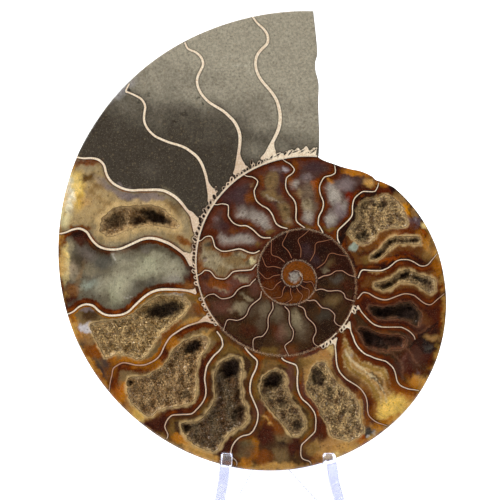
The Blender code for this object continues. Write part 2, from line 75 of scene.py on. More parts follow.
# The other walls between the chambers, each as readings of share and growth from the rim side inwards
septa = {
    "n1": "1 360,.85 358,.75 354.4,.7 352.6,.6 352.1,.55 351.7,.5 352.6,.4 355.5,.3 357.3,.2 358,.05 364",
    "n2": "1 382,.83 382.7,.77 382.1,.74 380,.7 378.3,.6 377.1,.5 378.2,.4 380.7,.3 382.8,.2 383.2,"
         ".15 384.3,.1 386.4,.03 392.2",
    "n3": "1 406,.9 408,.8 408,.77 407,.74 404.8,.7 403,.6 402.5,.5 403.4,.4 407,.35 408.2,.2 408,.15 408.4,"
         ".1 411.3,.06 417,.02 420.8",
    "n4": "1 431,.9 433.4,.8 433,.74 430.2,.7 428.4,.6 427.1,.5 428,.4 430.7,.3 433,.2 432.5,.15 433,"
         ".1 435.2,.04 442.4",
    "n5": "1 454,.87 456.8,.8 457.7,.74 455,.7 452.5,.6 451,.5 451.4,.4 454.8,.3 456.8,.2 457.5,.15 458.1,"
         ".1 460.4,.04 467.6",
    "n6": "1 479,.9 481.6,.8 483.2,.73 480.7,.7 478.4,.6 477.1,.5 477.5,.4 480.5,.3 483.1,.15 483.8,"
         ".1 486.1,.04 490.8",
    "n7": "1 503,.93 504.8,.83 507.2,.77 505.9,.74 504.5,.7 502.7,.6 501.2,.5 501.8,.4 505,.3 506.8,"
         ".15 507.7,.1 509.9,.04 516",
    "n8": "1 526,.9 528,.8 528,.77 526.8,.74 525,.7 523.2,.6 522.3,.5 523,.4 526.8,.3 529.1,.2 529.3,"
         ".16 530,.13 532.2,.05 537",
    "m1": "1 540.5,.92 542.2,.87 544,.85 544.3,.8 544.2,.77 543.7,.74 542.3,.71 540.1,.68 539.1,.6 538.4,"
         ".55 538.4,.5 539.8,.45 542.3,.4 544.8,.3 546.5,.2 547.6,.15 548.5,.1 549.8,.07 552.5,.05 555.6,"
         ".03 558.1",
    "m2": "1 560.3,.95 561.5,.9 564.3,.83 565.9,.8 565.6,.77 564.3,.74 562.2,.71 560.6,.63 559.7,.6 559.6,"
         ".55 560.3,.5 561.5,.4 564.9,.35 566.8,.3 567.7,.2 568.2,.15 569.1,.1 571.1,.07 573.9,.05 576.7",
    "m3": "1 581.9,.95 583.1,.9 585.3,.83 587.1,.8 586.9,.77 585.6,.74 584,.71 582.6,.6 581.55,.5 583.1,"
         ".45 585.3,.4 587.3,.3 588.8,.2 589.4,.15 590.1,.1 592.4,.07 595.2,.04 598.6",
    "m4": "1 603.6,.95 604.8,.9 607.3,.83 609,.8 608.8,.77 607.7,.74 606,.71 604.8,.6 603.6,.5 605.1,"
         ".4 608.8,.3 610.5,.2 610.8,.15 611.6,.1 614.4,.07 617.2,.04 621.5",
    "m5": "1 624,.95 625.6,.9 628,.83 629.9,.8 629.8,.77 628.8,.74 626.5,.71 625.3,.6 624.6,.5 626.2,"
         ".4 629.9,.3 631.5,.15 631.6,.1 633,.07 635.5,.04 638.9,.02 641.7",
    "m6": "1 647.6,.93 649,.9 650.1,.83 651.4,.8 651.1,.77 649.9,.74 647.4,.71 646.4,.6 645.6,.5 647.3,"
         ".4 651.2,.3 652.6,.2 652.2,.1 654.3,.07 657,.03 661.1,.01 662.9",
    "m7": "1 670.6,.95 671.3,.9 672.5,.83 673.3,.8 672.9,.77 671.3,.74 669.4,.71 668.4,.6 667.5,.5 669.4,"
         ".4 673,.3 673.7,.15 673.2,.1 674.7,.07 676.6,.04 679.1,.02 683.1",
    "A": "1 710.2,.95 711.7,.9 713.1,.85 714.6,.8 715.2,.75 714.8,.7 713,.65 711.6,.6 711.05,.55 710.8,"
         ".5 711.3,.45 712.7,.4 714.2,.35 715.2,.3 715.8,.2 715.3,.15 714.7,.1 714.2,.07 715.6,.05 718.2,"
         ".03 720.8",
    "B": "1 725.4,.99 726,.96 727,.91 728.6,.875 729.9,.84 731.2,.8 731.7,.75 731.3,.7 730.2,.65 728.9,"
         ".6 728.5,.55 728.6,.5 729.4,.4 732.2,.35 733.7,.3 734.45,.25 734.4,.2 733.8,.15 732.6,.1 732.4,"
         ".07 733.5,.05 735.9,.03 739",
    "C": ".72 747.3,.7 746.3,.65 745.4,.6 745.1,.55 745.2,.5 746.15,.4 748.6,.35 749.8,.3 750.6,.25 750.7,"
         ".2 750.05,.15 748.9,.1 747.3,.05 744.2",
    "D": "1 762.1,.95 763,.9 764.2,.85 765.1,.8 765.65,.75 765.3,.7 763.8,.65 762.7,.6 762.5,.55 762.7,"
         ".5 763.8,.45 765.1,.4 766.1,.35 767.3,.3 767.8,.25 767.8,.2 767.2,.15 765.6,.1 763.9,.07 761.7,"
         ".04 759.1",
    "E": "1 777.6,.95 778.9,.9 780.3,.85 781.2,.8 781.7,.75 781.2,.7 780,.65 779.25,.6 779.1,.55 779.4,"
         ".5 780.3,.45 781.6,.4 783,.35 783.9,.3 784.5,.25 784.3,.2 783.3,.15 781.6,.1 780,.07 778.1,"
         ".04 775.2",
    "F": "1 804.8,.96 805.2,.93 807,.9 807.8,.85 807.85,.8 807.5,.77 806,.75 804.8,.72 802.9,.7 802.2,"
         ".65 801.7,.6 801.35,.55 801.5,.5 802.5,.45 804,.4 806.2,.35 807.5,.3 808.2,.25 808.4,.2 808.3,"
         ".15 807.9,.1 808.6,.08 810.1,.06 813.5,.04 816.9,.02 818.7",
    "G": "1 826.9,.95 827.3,.92 828.9,.9 829.6,.85 830.1,.8 829.95,.75 829.1,.72 827.8,.7 826,.67 825.1,"
         ".65 824.8,.6 824.4,.55 824.5,.5 825.1,.45 826.65,.4 828.7,.35 830.8,.3 832,.25 832.7,.2 832.9,"
         ".15 832.7,.1 833.15,.07 834.3,.05 837.7,.03 841.6,.01 844.7",
    "H": "1 848.1,.95 848.6,.92 850.2,.9 851,.85 851.6,.8 851.5,.77 850.4,.74 848.9,.7 846.9,.65 846.4,"
         ".6 846.2,.55 846.3,.5 847.1,.45 848.9,.4 851.35,.34 853.4,.3 854.55,.25 855.2,.2 855.6,.15 855.5,"
         ".1 856.1,.075 857.8,.055 860.4,.045 864.6",
    "I": "1 868.1,.95 870,.92 871.06,.9 871.7,.87 872.9,.85 873.3,.8 873.5,.77 873.3,.74 872.4,.7 870.8,"
         ".65 869.6,.6 869.2,.55 869.2,.5 869.9,.45 871.5,.4 873.1,.35 874.3,.3 874.8,.25 875.2,.2 875.35,"
         ".15 875,.1 874.4,.06 873.4,.03 870.8",
    "J": "1 890.6,.95 891.1,.9 892.1,.85 892.5,.8 891.9,.77 890.3,.74 889,.7 888.2,.65 887.8,.6 887.7,"
         ".55 888.35,.5 889.8,.45 891.3,.4 892.8,.35 893.9,.3 894.5,.25 894.5,.2 894.15,.15 893.7,.1 892.9,"
         ".07 892.1,.04 890.6",
    "K": "1 910.3,.95 911.05,.9 912.1,.85 912.7,.8 912.2,.77 910.9,.74 909.75,.7 908.8,.65 908.45,.6 908.6,"
         ".55 909.2,.5 910.5,.45 912.1,.4 913.8,.35 914.95,.3 915.4,.25 915.3,.2 914.9,.15 913.8,.1 912.2,"
         ".07 910.4,.04 906.5",
    "L": "1 928.8,.95 929.4,.9 930.4,.85 930.9,.8 930.4,.77 929.1,.74 928.1,.7 927.4,.65 927.2,.6 927.4,"
         ".55 928.1,.5 929.4,.45 930.7,.4 932.2,.35 933.4,.3 933.85,.25 933.9,.2 933.3,.15 932.1,.1 930.7,"
         ".07 928.1,.04 924.7",
    "M": ".985 949.4,.972 948.1,.96 947.7,.95 948,.9 948.75,.85 949.3,.8 948.9,.77 947.6,.74 946.3,.7 945.5,"
         ".65 945.2,.6 945.4,.55 946.2,.5 947.2,.45 948.6,.4 949.8,.35 950.5,.3 951,.25 950.8,.2 949.9,"
         ".15 948.4,.1 946,.06 943.7,.04 941.6",
    "N": "1 965,.95 964.95,.92 965.6,.9 966.25,.85 967,.8 966.8,.77 965.6,.74 964.2,.7 963.3,.65 963.05,"
         ".6 963.3,.55 964,.5 965.3,.45 966.8,.4 967.9,.35 968.85,.3 969.2,.25 969,.2 967.9,.15 966.1,"
         ".1 963.8,.06 961.7,.04 959.9",
    "O": "1 980.9,.95 981.7,.9 983,.85 983.7,.8 983.4,.77 982,.74 980.7,.7 979.9,.65 979.6,.6 979.9,"
         ".55 980.7,.5 982,.45 983.3,.4 984.3,.35 984.8,.3 985,.25 984.7,.2 983.8,.15 982,.1 979.4,.06 977,"
         ".04 974.7",
}
# How thick each wall is in the cut, in mm
septumWidths = {"i": 0.13, "n": 0.2, "m": 0.28, "A": 0.27, "B": 0.28, "C": 0.26, "D": 0.3, "E": 0.3,
                "F": 0.32, "G": 0.36, "H": 0.36, "I": 0.36, "J": 0.58, "K": 0.64, "L": 0.68, "M": 0.66,
                "N": 0.76, "O": 0.84}
# The flared feet of the last walls: share where the flare starts, growth of its far corner on the coil inside
feet = {"I": (0.17, 876.2), "J": (0.14, 893.9), "K": (0.14, 914.6), "L": (0.2, 932.6), "M": (0.2, 948.2),
        "N": (0.22, 967.2), "O": (0.2, 982.4), "D": (0.12, 766.5), "E": (0.12, 782.6)}
# How pale a wall is at its foot and at the rim, where it is less than cream
wallTones = {"A": (0.95, 0.6), "B": (0.5, 0.3), "C": (0.75, 0.55), "D": (0.95, 0.75), "E": (0.9, 0.35),
             "F": (0.9, 0.6), "G": (0.85, 0.65), "H": (0.8, 0.5), "I": (0.65, 0.2)}
# The open hollows with crystals. Each stands for one CAD crust and has its depth in mm, how much of that its
# floor has outside the dark pits, its light, deep and fringe colours, the fringe's width, and rows of share,
# growth from and growth to.
hollows = {
    "crystal_crust_01": (3.2, 0.5, ("crystalLight", "crystalDeep", "paleRim"), 0.5,
        ".9 681 688,.86 677.5 691.5,.8 676.5 695.5,.7 673.6 695,.62 671.5 693,.5 673 692,.4 677 694,"
        ".3 678 695.8,.24 679 695,.18 681 691"),
    "crystal_crust_02": (3.6, 0.7, ("tan", "crystalDeep", "paleRim"), 0.8,
        ".86 702.5 704.5,.83 701.5 705.5,.7 699.5 704,.6 698 702.6,.5 698.5 703.5,.4 701 706.5,"
        ".3 703.5 708.6,.24 704 707.5"),
    "crystal_crust_03": (4.0, 0.7, ("tan", "crystalDeep", "paleRim"), 0.9,
        ".89 722 725,.87 720.5 726,.8 719.6 727,.7 718.6 724.3,.6 716.2 723,.5 717.4 723.2,.4 720.6 726.2,"
        ".3 723 728.8,.21 724 727"),
    "crystal_crust_04": (5.0, 0.9, ("umber", "nearBlack", "rimMauve"), 0.5,
        ".74 737 741.5,.71 735 742.2,.62 732.4 741.5,.5 733.3 742,.4 736.4 744.3,.3 738.8 746.2,"
        ".22 739.8 745.6,.16 741 743.4"),
    "crystal_crust_05": (5.0, 0.9, ("darkRed", "umber", "rimMauve"), 0.5,
        ".65 750 753,.63 748.8 754,.57 748.8 756,.5 750 759.4,.4 753 762.4,.3 754.3 764,.22 755.2 761.8,"
        ".15 757.2 760"),
    "crystal_crust_06": (3.4, 0.5, ("crystalLight", "crystalDeep", "paleRim"), 0.5,
        ".91 787 791.5,.88 785.5 793,.8 785 796.8,.68 783.2 797.4,.58 783.2 799.2,.5 784.4 799.6,"
        ".4 787.4 802.2,.3 789 803.8,.2 789.6 801,.14 792 798"),
    "crystal_crust_07": (6.0, 0.5, ("tan", "crystalDeep", "paleRim"), 0.6,
        ".71 808 811,.69 807 811.5,.62 805.4 813.6,.5 807.2 819,.4 810.8 823.8,.3 813.2 827,"
        ".2 814.4 827.2,.13 818 823.5"),
    "crystal_crust_08": (6.5, 0.42, ("crystalDull", "crystalDeep", "paleRim"), 1.0,
        ".92 836 840,.9 834 843,.82 833.4 847.6,.72 832.2 843.6,.62 828.4 842.8,.5 829.4 843.2,"
        ".4 833.2 846.6,.3 836.2 850.2,.2 838.6 850.6,.12 842.5 847.5"),
    "crystal_crust_09": (5.0, 0.45, ("crystalPale", "brownMottle", "paleRim"), 0.7,
        ".93 858 862,.91 856 864,.82 855.2 868.6,.7 851.5 866.4,.6 849 866,.5 851.2 866.3,.4 855.2 869,"
        ".3 859.2 869.9,.2 860.8 868.8,.14 863.4 866.8"),
    "crystal_crust_10": (6.0, 0.4, ("crystalLight", "olive", "paleRim"), 0.5,
        ".87 879 885,.86 876.6 887,.76 876.2 887,.66 872 886.4,.58 872.2 886.8,.5 874 887.8,"
        ".4 876.8 890.2,.3 878.8 892,.2 880.6 891,.12 884 888.6"),
    "crystal_crust_11": (6.5, 0.5, ("crystalPale", "brownMottle", "paleRim"), 2.0,
        ".71 914 916,.7 913 917.5,.62 912.4 921.4,.5 916 924,.4 918.5 926.6,.3 920.4 927.6,.2 921.6 925.8,"
        ".16 922.8 924.6"),
}
# Crusts whose crystals are more alike in tone than the rest, by what is left of the difference
calmCrusts = {"crystal_crust_04": 0.5, "crystal_crust_05": 0.5, "crystal_crust_08": 0.4,
              "crystal_crust_09": 0.8, "crystal_crust_11": 0.6}
# The pits in them, sunk deeper than the floor and darkened with painted shade: growth, share, half length and
# half width in mm, turn in degrees, and how dark their painted shade is, which also sets how deep they sink
pits = (
    "674.6 .6 2.8 1.4 60 .45,689 .29 2.2 1.6 10 .8,680 .72 2 1 0 .6,692 .46 1.5 1 0 .5,"
    "698.6 .57 2.2 .9 40 .9,705.5 .31 2 1 20 1,703.5 .8 2.2 .8 -10 .9,702.5 .66 1.8 .7 0 .7,"
    "718.5 .58 2 .9 40 1,726.5 .33 3 1.1 20 1,721.5 .75 3.2 .8 -25 .9,737 .6 4.5 2.4 10 1,"
    "742 .33 4.5 2.2 25 1,753 .5 3.5 2.2 -20 .8,758 .34 5 2.4 -25 1,797 .25 3.4 2.2 -60 .85,"
    "793 .42 2 1.4 -50 .55,789 .65 1.6 1.2 0 .4,821.5 .22 3.2 2.4 20 1,808.5 .63 1.8 1.5 -10 .75,"
    "815 .42 1.8 1.2 -60 .5,844.5 .22 3.3 2.9 50 1,846 .84 2.2 1.3 -10 .85,832 .55 2.6 2 60 .55,"
    "834.5 .4 2 1.6 60 .4,865.3 .27 3 1.9 35 1,867.3 .84 1.3 1 0 .7,852.5 .6 1.6 1.4 0 .45,"
    "885.6 .3 6 2.6 12 1,889 .82 2.6 1.8 0 .7,923 .33 5.5 2 -28 1,917.5 .6 3.4 2.3 10 .6,"
    "919.5 .44 3 1.9 -15 .85")

# Colours, named once and judged
colours = {name: rgb for name, *rgb in rowsOf(
    "cream 248 234 210,creamDull 220 196 164,black 14 10 8,nearBlack 36 20 15,maroon 72 29 17,"
    "darkRed 98 40 20,redBrown 112 48 20,bloodRed 128 34 14,rust 130 72 30,rustDark 96 42 18,"
    "rustTan 158 112 66,ember 154 74 24,amber 176 112 44,amberBright 210 138 42,honey 194 148 84,"
    "honeyDull 162 124 76,corn 224 184 98,crystalPale 176 146 102,creamYellow 236 208 138,ivory 248 242 222,"
    "paleYellow 222 208 158,yellow 228 184 80,umber 70 46 26,tan 160 136 96,coreDark 84 58 50,"
    "crystalDull 104 86 60,crystalDeep 88 58 30,rimMauveDark 84 56 44,paleVein 206 188 150,"
    "oliveGold 146 112 58,crystalLight 196 168 118,rimMauve 124 84 62,brownAmber 110 68 34,"
    "maroonDark 54 25 15,greenPale 158 152 128,brownMottle 112 78 36,oliveDark 62 50 34,pitDark 44 27 16,"
    "paleRim 186 158 112,rimGlow 214 166 88,wallDim 160 104 72,tanBrown 122 98 64,greyTan 148 134 106,"
    "greyBrown 104 88 70,olive 124 94 48,oliveGrey 112 100 68,mauve 108 68 56,violetDark 70 50 52,"
    "violetGrey 126 112 110,violetWhite 190 184 186,greyWhite 166 158 146,stoneGrey 92 88 80,"
    "calcite 104 96 78,paleGreen 156 156 126,greenWhite 148 158 142,slate 52 54 54,slateDark 74 70 60,"
    "slateMauve 108 98 106,white 226 220 214,haze 150 148 152,matrixDark 66 59 50,matrixMid 92 84 73,"
    "matrixPale 142 135 118,matrixLight 170 163 146")}

# How the stone is laid out in each chamber, by the wall it starts at: the rind's width in mm at that wall, at
# the next wall, at the rim and at the foot, then the rind's colour at the wall and at its inner edge, and the
# core's
chambers = {name: row for name, *row in rowsOf(
    "start .5 .5 .4 .3 maroon rustDark rust,i .6 .6 .8 .6 nearBlack maroon maroonDark,"
    "n .6 .6 .9 .6 nearBlack maroon umber,m 1.7 1.4 2 1.3 nearBlack redBrown coreDark,"
    "n8 .8 .9 1 .7 nearBlack redBrown mauve,m1 .8 1 1.3 .9 maroon rust greyTan,"
    "m7 2.6 2 2.6 1.2 nearBlack maroon brownAmber,A 1.9 1.7 2.6 1.5 maroon rustDark brownAmber,"
    "B 1.5 1.1 2.2 1.5 maroon rustDark maroon,C 1.2 1.6 2.4 1.5 maroon rustDark umber,"
    "D 2.4 2.6 .4 2 maroon rustDark honeyDull,E 1.3 1.9 .6 1.6 maroon mauve honeyDull,"
    "F 1.8 2.2 1 2.6 maroon olive umber,G 1.6 1.9 2.4 2.8 maroon olive umber,"
    "H 1.9 2.2 2 2.2 maroon rustDark tanBrown,I 1.3 .9 2 2.2 rust amber tanBrown,"
    "J 1.9 1.7 .8 2.4 maroon rustDark calcite,K 1.2 1 1.2 2 rustDark greyTan tan,"
    "L .3 .3 .3 .4 nearBlack matrixDark matrixDark")}

# Places that differ: growth, share, half length and half width in mm, colour, strength, softness and, where
# there is one, the turn in degrees. The bluish grey one at the matrix's rim, near growth 947, is a painted
# highlight
blotches = (
    "42.1 .77 2 2 rust .6 .7,94.8 .6 6.8 1.7 rust .7 .7,160.4 .64 3.1 4.4 rustDark .7 .7 15,"
    "219.8 .62 2 4.1 maroon .8 .7 20,257.2 .55 2 2.4 nearBlack .6 .8,294.6 .36 1.7 2.7 violetDark .7 .8,"
    "317.7 .6 2 1.7 nearBlack .7 .8,320.6 .23 1.4 2 violetDark .7 .7 20,332.4 .61 1.7 1.4 umber .5 .7,"
    "338.2 .47 1.7 1.4 tanBrown .6 .7,346.9 .58 2 1 maroon .6 .7,347.2 .28 1 .9 greyTan .6 .7,"
    "363 .53 2 1.2 stoneGrey .6 .8 20,368.7 .16 1.7 1 nearBlack .7 .7,369.4 .77 2 1.7 maroon .7 .7,"
    "383.6 .87 1.7 1.4 maroon .6 .7,391.3 .22 2.4 1 nearBlack .6 .7,391.9 .5 3.4 1.7 tanBrown .7 .7 20,"
    "399.7 .85 1.7 2 umber .6 .7,412 .52 2.7 1.7 slateDark .7 .8 30,412.1 .36 .4 1.4 rust .6 .7 -20,"
    "418.5 .78 3.1 3.1 nearBlack .7 .8,421 .14 1.4 1.4 nearBlack .7 .7,441 .5 2 3.8 greyBrown .8 .8 10,"
    "447.9 .28 1.7 2.7 greyTan .8 .8 10,455.3 .92 3.6 1 mauve .6 .5,463.6 .56 1.7 3.1 mauve .8 .8,"
    "468.3 .95 3.6 1.4 olive .8 .5,471.2 .5 1 2 rustDark .5 .7,473.2 .2 1.7 2.7 greyBrown .8 .8,"
    "477.8 .81 1.4 1.4 nearBlack .5 .6,485 .53 1.7 2 greyBrown .6 .8,489.7 .72 3.1 2 maroon .7 .7,"
    "490.7 .27 2 3.8 greyBrown .7 .8 15,510 .49 2.4 2 greyTan .7 .5 -30,512.5 .65 1.7 .9 greyTan .6 .5,"
    "514.8 .3 2.4 .7 greyTan .7 .5 -35,517.2 .77 3.4 2.4 mauve .7 .8,521.3 .11 2 1.7 mauve .6 .8,"
    "527.9 .12 2 1.4 mauve .6 .6,529.8 .64 2.4 .5 greyTan .7 .4 -12,532.9 .59 2 1 ember .5 .7 -10,"
    "535.3 .73 3.8 1.5 rust .8 .6 -10,537.5 .26 4.1 .8 greyTan .8 .4 -15,"
    "539.3 .86 1.4 1.4 nearBlack .6 .6,542.3 .28 3.8 .9 greyBrown .7 .6 -10,"
    "545.1 .58 2 1.7 tanBrown .8 .5,546.6 .91 1 2 rust .8 .6,549.6 .7 .8 .7 umber .9 .4,"
    "550.7 .84 .9 .6 violetGrey .8 .5,551.8 .66 4.1 2 greyTan .8 .6 15,552.2 .87 .5 .5 umber .8 .4,"
    "554.9 .76 .8 .6 umber .9 .4,555.6 .35 4.4 1.9 tanBrown .9 .5 -8,556.3 .8 1.7 2 greyTan .7 .6,"
    "557.3 .94 .5 2 maroon .7 .6,558.2 .16 .5 .4 black .6 .5,558.4 .52 2 .6 rust .9 .5 10,"
    "560 .83 1.5 2.4 tanBrown .9 .5 15,560.7 .83 1.2 .8 slate .6 .6,561.2 .1 1 1 paleYellow .7 .5,"
    "562.9 .35 .7 .5 umber .6 .6,563.4 .16 2 .5 rust .8 .5 25,567.3 .84 1.9 1.6 rustDark .7 .7,"
    "567.7 .62 1.9 1.6 greyWhite .52 .7,574.1 .37 5.5 1.9 greyWhite .63 .7 12,"
    "575.5 .7 1.6 1.3 violetDark .7 .8,576.1 .86 1.3 1 violetGrey .5 .8,576.8 .53 1.3 1 rust .8 .6,"
    "582.5 .12 1 .8 olive .8 .6,587.4 .41 2.6 .6 rust .7 .6,589 .91 1.9 1.9 violetDark .6 .9,"
    "589.1 .58 1.9 1.3 greyWhite .44 .8,595.9 .81 3.5 3.5 violetDark .8 .9 -30,"
    "598.1 .39 6.1 2.1 greyWhite .63 .7 -22,600.1 .21 1.9 1.6 greyWhite .37 .8 -30,"
    "600.7 .67 1.6 1.9 rust .8 .7,602.2 .11 1.3 .8 olive .8 .6,605.4 .81 1 .7 tan .8 .6,"
    "611.2 .81 1 1.9 rust .8 .6,611.3 .59 .8 .5 umber .9 .4,613.6 .55 3.5 1.6 tanBrown .9 .5 -15,"
    "615.6 .48 2.9 .4 greyWhite .44 .4 -20,616.7 .74 2.2 3.5 tanBrown .9 .6,616.8 .76 .6 .8 umber .6 .5,"
    "617.4 .43 .8 .5 umber .8 .4,619.2 .91 2.9 1 violetGrey .5 .8 -20,621.4 .15 .3 .6 black .8 .4,"
    "621.6 .08 1.6 .6 olive .6 .6,621.6 .27 1.9 3.5 tanBrown .9 .5 15,622.7 .29 .8 .7 black .9 .4,"
    "622.7 .74 1 1.9 violetDark .6 .7,624.3 .13 1.6 1.3 greyTan .8 .5,"
    "625.9 .83 1.1 .8 violetWhite .59 .6,627.3 .68 1 1.6 rust .9 .6,629.7 .62 1.8 1.6 greyWhite .59 .6,"
    "630.3 .88 1 1.6 rust .9 .6,633.2 .48 1.6 1.3 tan .6 .6,633.9 .59 .7 .5 umber .6 .6,"
    "636.8 .7 1.9 1.3 violetGrey .7 .8,639.2 .34 1.9 1.9 greyTan .8 .6,639.7 .37 .6 1.3 umber .6 .6 15,"
    "640.3 .85 3.2 1.9 violetDark .8 .8,643 .6 1.3 1.9 ember .9 .6,643.1 .16 2.1 2.2 greyWhite .67 .6,"
    "645.7 .03 1.6 .6 olive .7 .6,646.1 .45 1 1.6 rust .6 .7,651 .6 1.6 2.2 greyWhite .59 .7,"
    "651 .69 1.4 .7 amber .8 .5 -20,654.1 .89 2 .8 maroon .9 .6 -15,655.6 .52 2.2 3.4 greyWhite .63 .7,"
    "657.1 .5 1.9 1.9 greyWhite .52 .7,658.8 .71 2.8 2 violetGrey .8 .8,660 .2 1.9 1.3 greyWhite .59 .7,"
    "660.6 .91 4.5 1.1 amber .95 .5 -12,661.9 .22 2.2 2.5 greyWhite .63 .7,"
    "663.5 .4 1.9 1.6 violetGrey .7 .7,664.6 .58 1.4 1.7 bloodRed .8 .7,"
    "665.2 .36 2.2 2.5 violetGrey .8 .8,665.3 .48 1.3 1.9 greyWhite .44 .7,666.1 .1 1.9 .6 olive .9 .6,"
    "666.7 .09 1.7 .6 olive .9 .6,667.4 .78 2.5 1.1 maroon .9 .6,668.8 .87 2 1.4 honey .95 .5 -10,"
    "669.8 .64 1.7 .8 nearBlack .8 .5,673.1 .46 .8 4.2 nearBlack .95 .4 5,"
    "673.4 .95 1.7 1 amber .9 .5 -20,674.8 .78 3.9 .7 nearBlack .9 .5 10,"
    "675.7 .88 2.5 1.3 darkRed .95 .5 -10,676.6 .28 1.1 3.1 nearBlack .95 .4 -35,"
    "679.8 .11 .8 2.5 nearBlack .95 .4 -10,684.3 .93 3.1 1.4 honeyDull .9 .5 -48,"
    "684.5 .9 1.1 .8 rustTan .6 .5,688.5 .91 1.4 1.7 amberBright .95 .5 -20,"
    "691.9 .82 .6 .4 violetWhite .59 .5,692.4 .96 1.7 .8 honeyDull .9 .5 -60,"
    "693.4 .12 1.4 1.5 greenWhite .95 .3 10,694.2 .81 1.7 2.2 slateMauve .9 .5,"
    "695.2 .94 .4 .3 white .67 .4,695.8 .92 1.1 1.7 slateMauve .8 .5,697.8 .74 3.7 1.1 darkRed .9 .5 -5,"
    "697.9 .54 3.9 .8 rustTan .85 .5 35,698.4 .97 .8 1.4 creamYellow .95 .5 30,"
    "699.6 .15 1.4 .7 umber .7 .5,701.5 .89 2.5 .6 amber .7 .5 -60,702.1 .25 3.4 .7 maroon .8 .5 20,"
    "705.5 .92 1.1 2.5 amber .95 .5 -10,706.6 .19 2 1.3 olive .9 .6 20,707.5 .63 3.4 .7 darkRed .8 .5,"
    "708.9 .96 .6 2 rust .8 .5 -15,709.2 .44 5.1 .6 ember .9 .5 8,711 .86 1.4 1.7 umber .7 .5,"
    "715.8 .07 .8 1.1 maroon .8 .5,716.6 .24 3.4 .4 honeyDull .9 .5 5,717 .97 .7 2.5 amber .9 .5 -8,"
    "747.8 .86 1.2 2.4 slate .9 .5 20,753.5 .37 7.2 1.2 rust .6 .5 -12,756.7 .75 3.6 4.4 maroon .8 .6,"
    "757.1 .69 .6 2.4 mauve .8 .5 -30,757.1 .88 2.8 1.6 umber .7 .5 -60,759.9 .93 2.6 1.8 honey .7 .8 10,"
    "766.7 .82 3.2 2.4 rust .9 .5 -40,766.9 .98 2.4 2 ember .7 .5 45,771 .66 .6 2 umber .7 .6 -20,"
    "771.2 .55 2.4 .6 umber .8 .6 -35,772.6 .8 1.2 .6 umber .6 .5,772.7 .89 5.6 3.6 corn .95 .6 25,"
    "773.6 .24 1.1 .8 greyWhite .7 .8 -50,775.9 .96 4.4 .9 amber .9 .5 25,777.9 .86 2 1.6 corn .7 .6,"
    "778.1 .57 5.2 1 rust .8 .5 -48,778.6 .77 1 4 rust .8 .5,778.7 .48 5.2 1.4 honeyDull .7 .6 -40,"
    "780.1 .21 1 4.8 rust .8 .5 -10,781.2 .93 2 1 amber .9 .5 -30,782.6 .61 1.2 4.8 rust .8 .5 -30,"
    "782.7 .82 1.2 3.2 rust .9 .5 -10,783.2 .95 .6 .9 white .9 .4,783.6 .09 1.2 2.4 creamYellow .6 .5,"
    "784.7 .93 2 2 slate .9 .4 10,785 .95 .4 .4 white .6 .5,787.1 .1 2 1.6 rustTan .8 .5 -20,"
    "787.3 .96 1.6 2 ember .95 .4,789.2 .3 2.4 3.6 maroon .6 .5 -30,789.8 .87 2.4 2.4 rustTan .6 .6,"
    "795.7 .94 6.4 2 honey .8 .6 18,797.3 .97 2.4 .9 creamYellow .8 .6 10,"
    "798.6 .69 2 5.2 maroon .95 .5 -10,801.8 .09 2.4 1.6 olive .7 .5,803 .95 2.4 1.6 rust .7 .5,"
    "804.2 .85 2.8 2.4 olive .7 .5 10,804.9 .65 1.2 4.4 olive .6 .5,807.1 .13 1.6 4 olive .7 .5,"
    "807.8 .93 2.4 2.4 umber .8 .5,810.2 .79 2.4 3.2 maroon .95 .5,812.5 .19 1.6 4.8 mauve .8 .5,"
    "813.3 .72 2.8 2 tanBrown .8 .5 20,814.3 .78 1.1 1.4 black .95 .4,814.3 .87 2.4 3.6 tanBrown .8 .5,"
    "816.7 .96 9.2 1.1 honey .9 .5,817.5 .62 3.2 2 rust .8 .7 -30,820.2 .89 3.6 2.4 rust .8 .5,"
    "820.5 .53 2 2 rust .9 .5 -35,820.7 .69 2.8 3.2 maroon .9 .5,821.4 .55 2.8 .5 honey .8 .5 -40,"
    "822.5 .95 1.6 1.2 umber .7 .5,823.3 .81 1.6 3.6 amber .7 .5,824.6 .93 1.6 2.4 amber .8 .5,"
    "824.8 .47 1.6 3.2 mauve .7 .5 -30,825.7 .97 2.4 1 amber .8 .5 -10,826.1 .83 .4 .4 black .95 .5,"
    "826.2 .83 3 2.8 oliveGrey .95 .5,829.5 .29 1 5.6 olive .6 .5,830.8 .48 1 6.4 olive .6 .5,"
    "831.5 .43 1.2 8 maroon .7 .5,833.2 .82 2.4 4.4 maroon .95 .5 -30,834.7 .98 2.8 1.4 honey .9 .5 -15,"
    "837.2 .95 2.8 .8 rustTan .8 .5 -20,840 .95 6.4 2 honey .95 .5 -30,844.4 .98 1.2 .6 black .9 .4 -20,"
    "845.6 .93 2.8 1.2 amber .9 .5 -30,846.5 .45 1 5.6 maroon .7 .5,847.1 .75 4.8 1 umber .8 .5,"
    "849.4 .88 1.2 2.8 olive .8 .5,850 .97 3.6 1 umber .8 .5 -38,852.4 .73 4.8 .9 maroon .9 .5 5,"
    "852.9 .1 3.6 1.6 olive .7 .5,853.4 .91 4.4 3.6 maroon .95 .5 30,854.6 .36 1.2 8 maroon .9 .5 3,"
    "857.2 .06 1 2.4 tanBrown .8 .5 -20,858 .97 2 1 creamYellow .9 .5 -40,"
    "859.5 .94 3.6 2.4 honey .9 .5 -40,863.1 .87 2.4 5.2 rustTan .7 .6 -45,"
    "863.7 .09 3.6 1.2 olive .8 .5 -10,866.1 .91 2.4 4.4 amber .95 .5 -40,"
    "867.6 .16 5.1 .7 honey .6 .5 30,868.9 .62 5.2 1.8 amber .95 .5,870.9 .77 2.4 1.6 tanBrown .8 .5,"
    "871.6 .37 2.4 2.4 amber .8 .5 45,872.2 .92 2 3.6 maroon .6 .5 30,873.5 .7 3.2 1.6 amber .95 .5 15,"
    "873.8 .94 .9 2.8 slate .95 .4 35,875.1 .85 2.4 4.8 amber .9 .5,876.4 .13 3.9 1 honey .7 .5 10,"
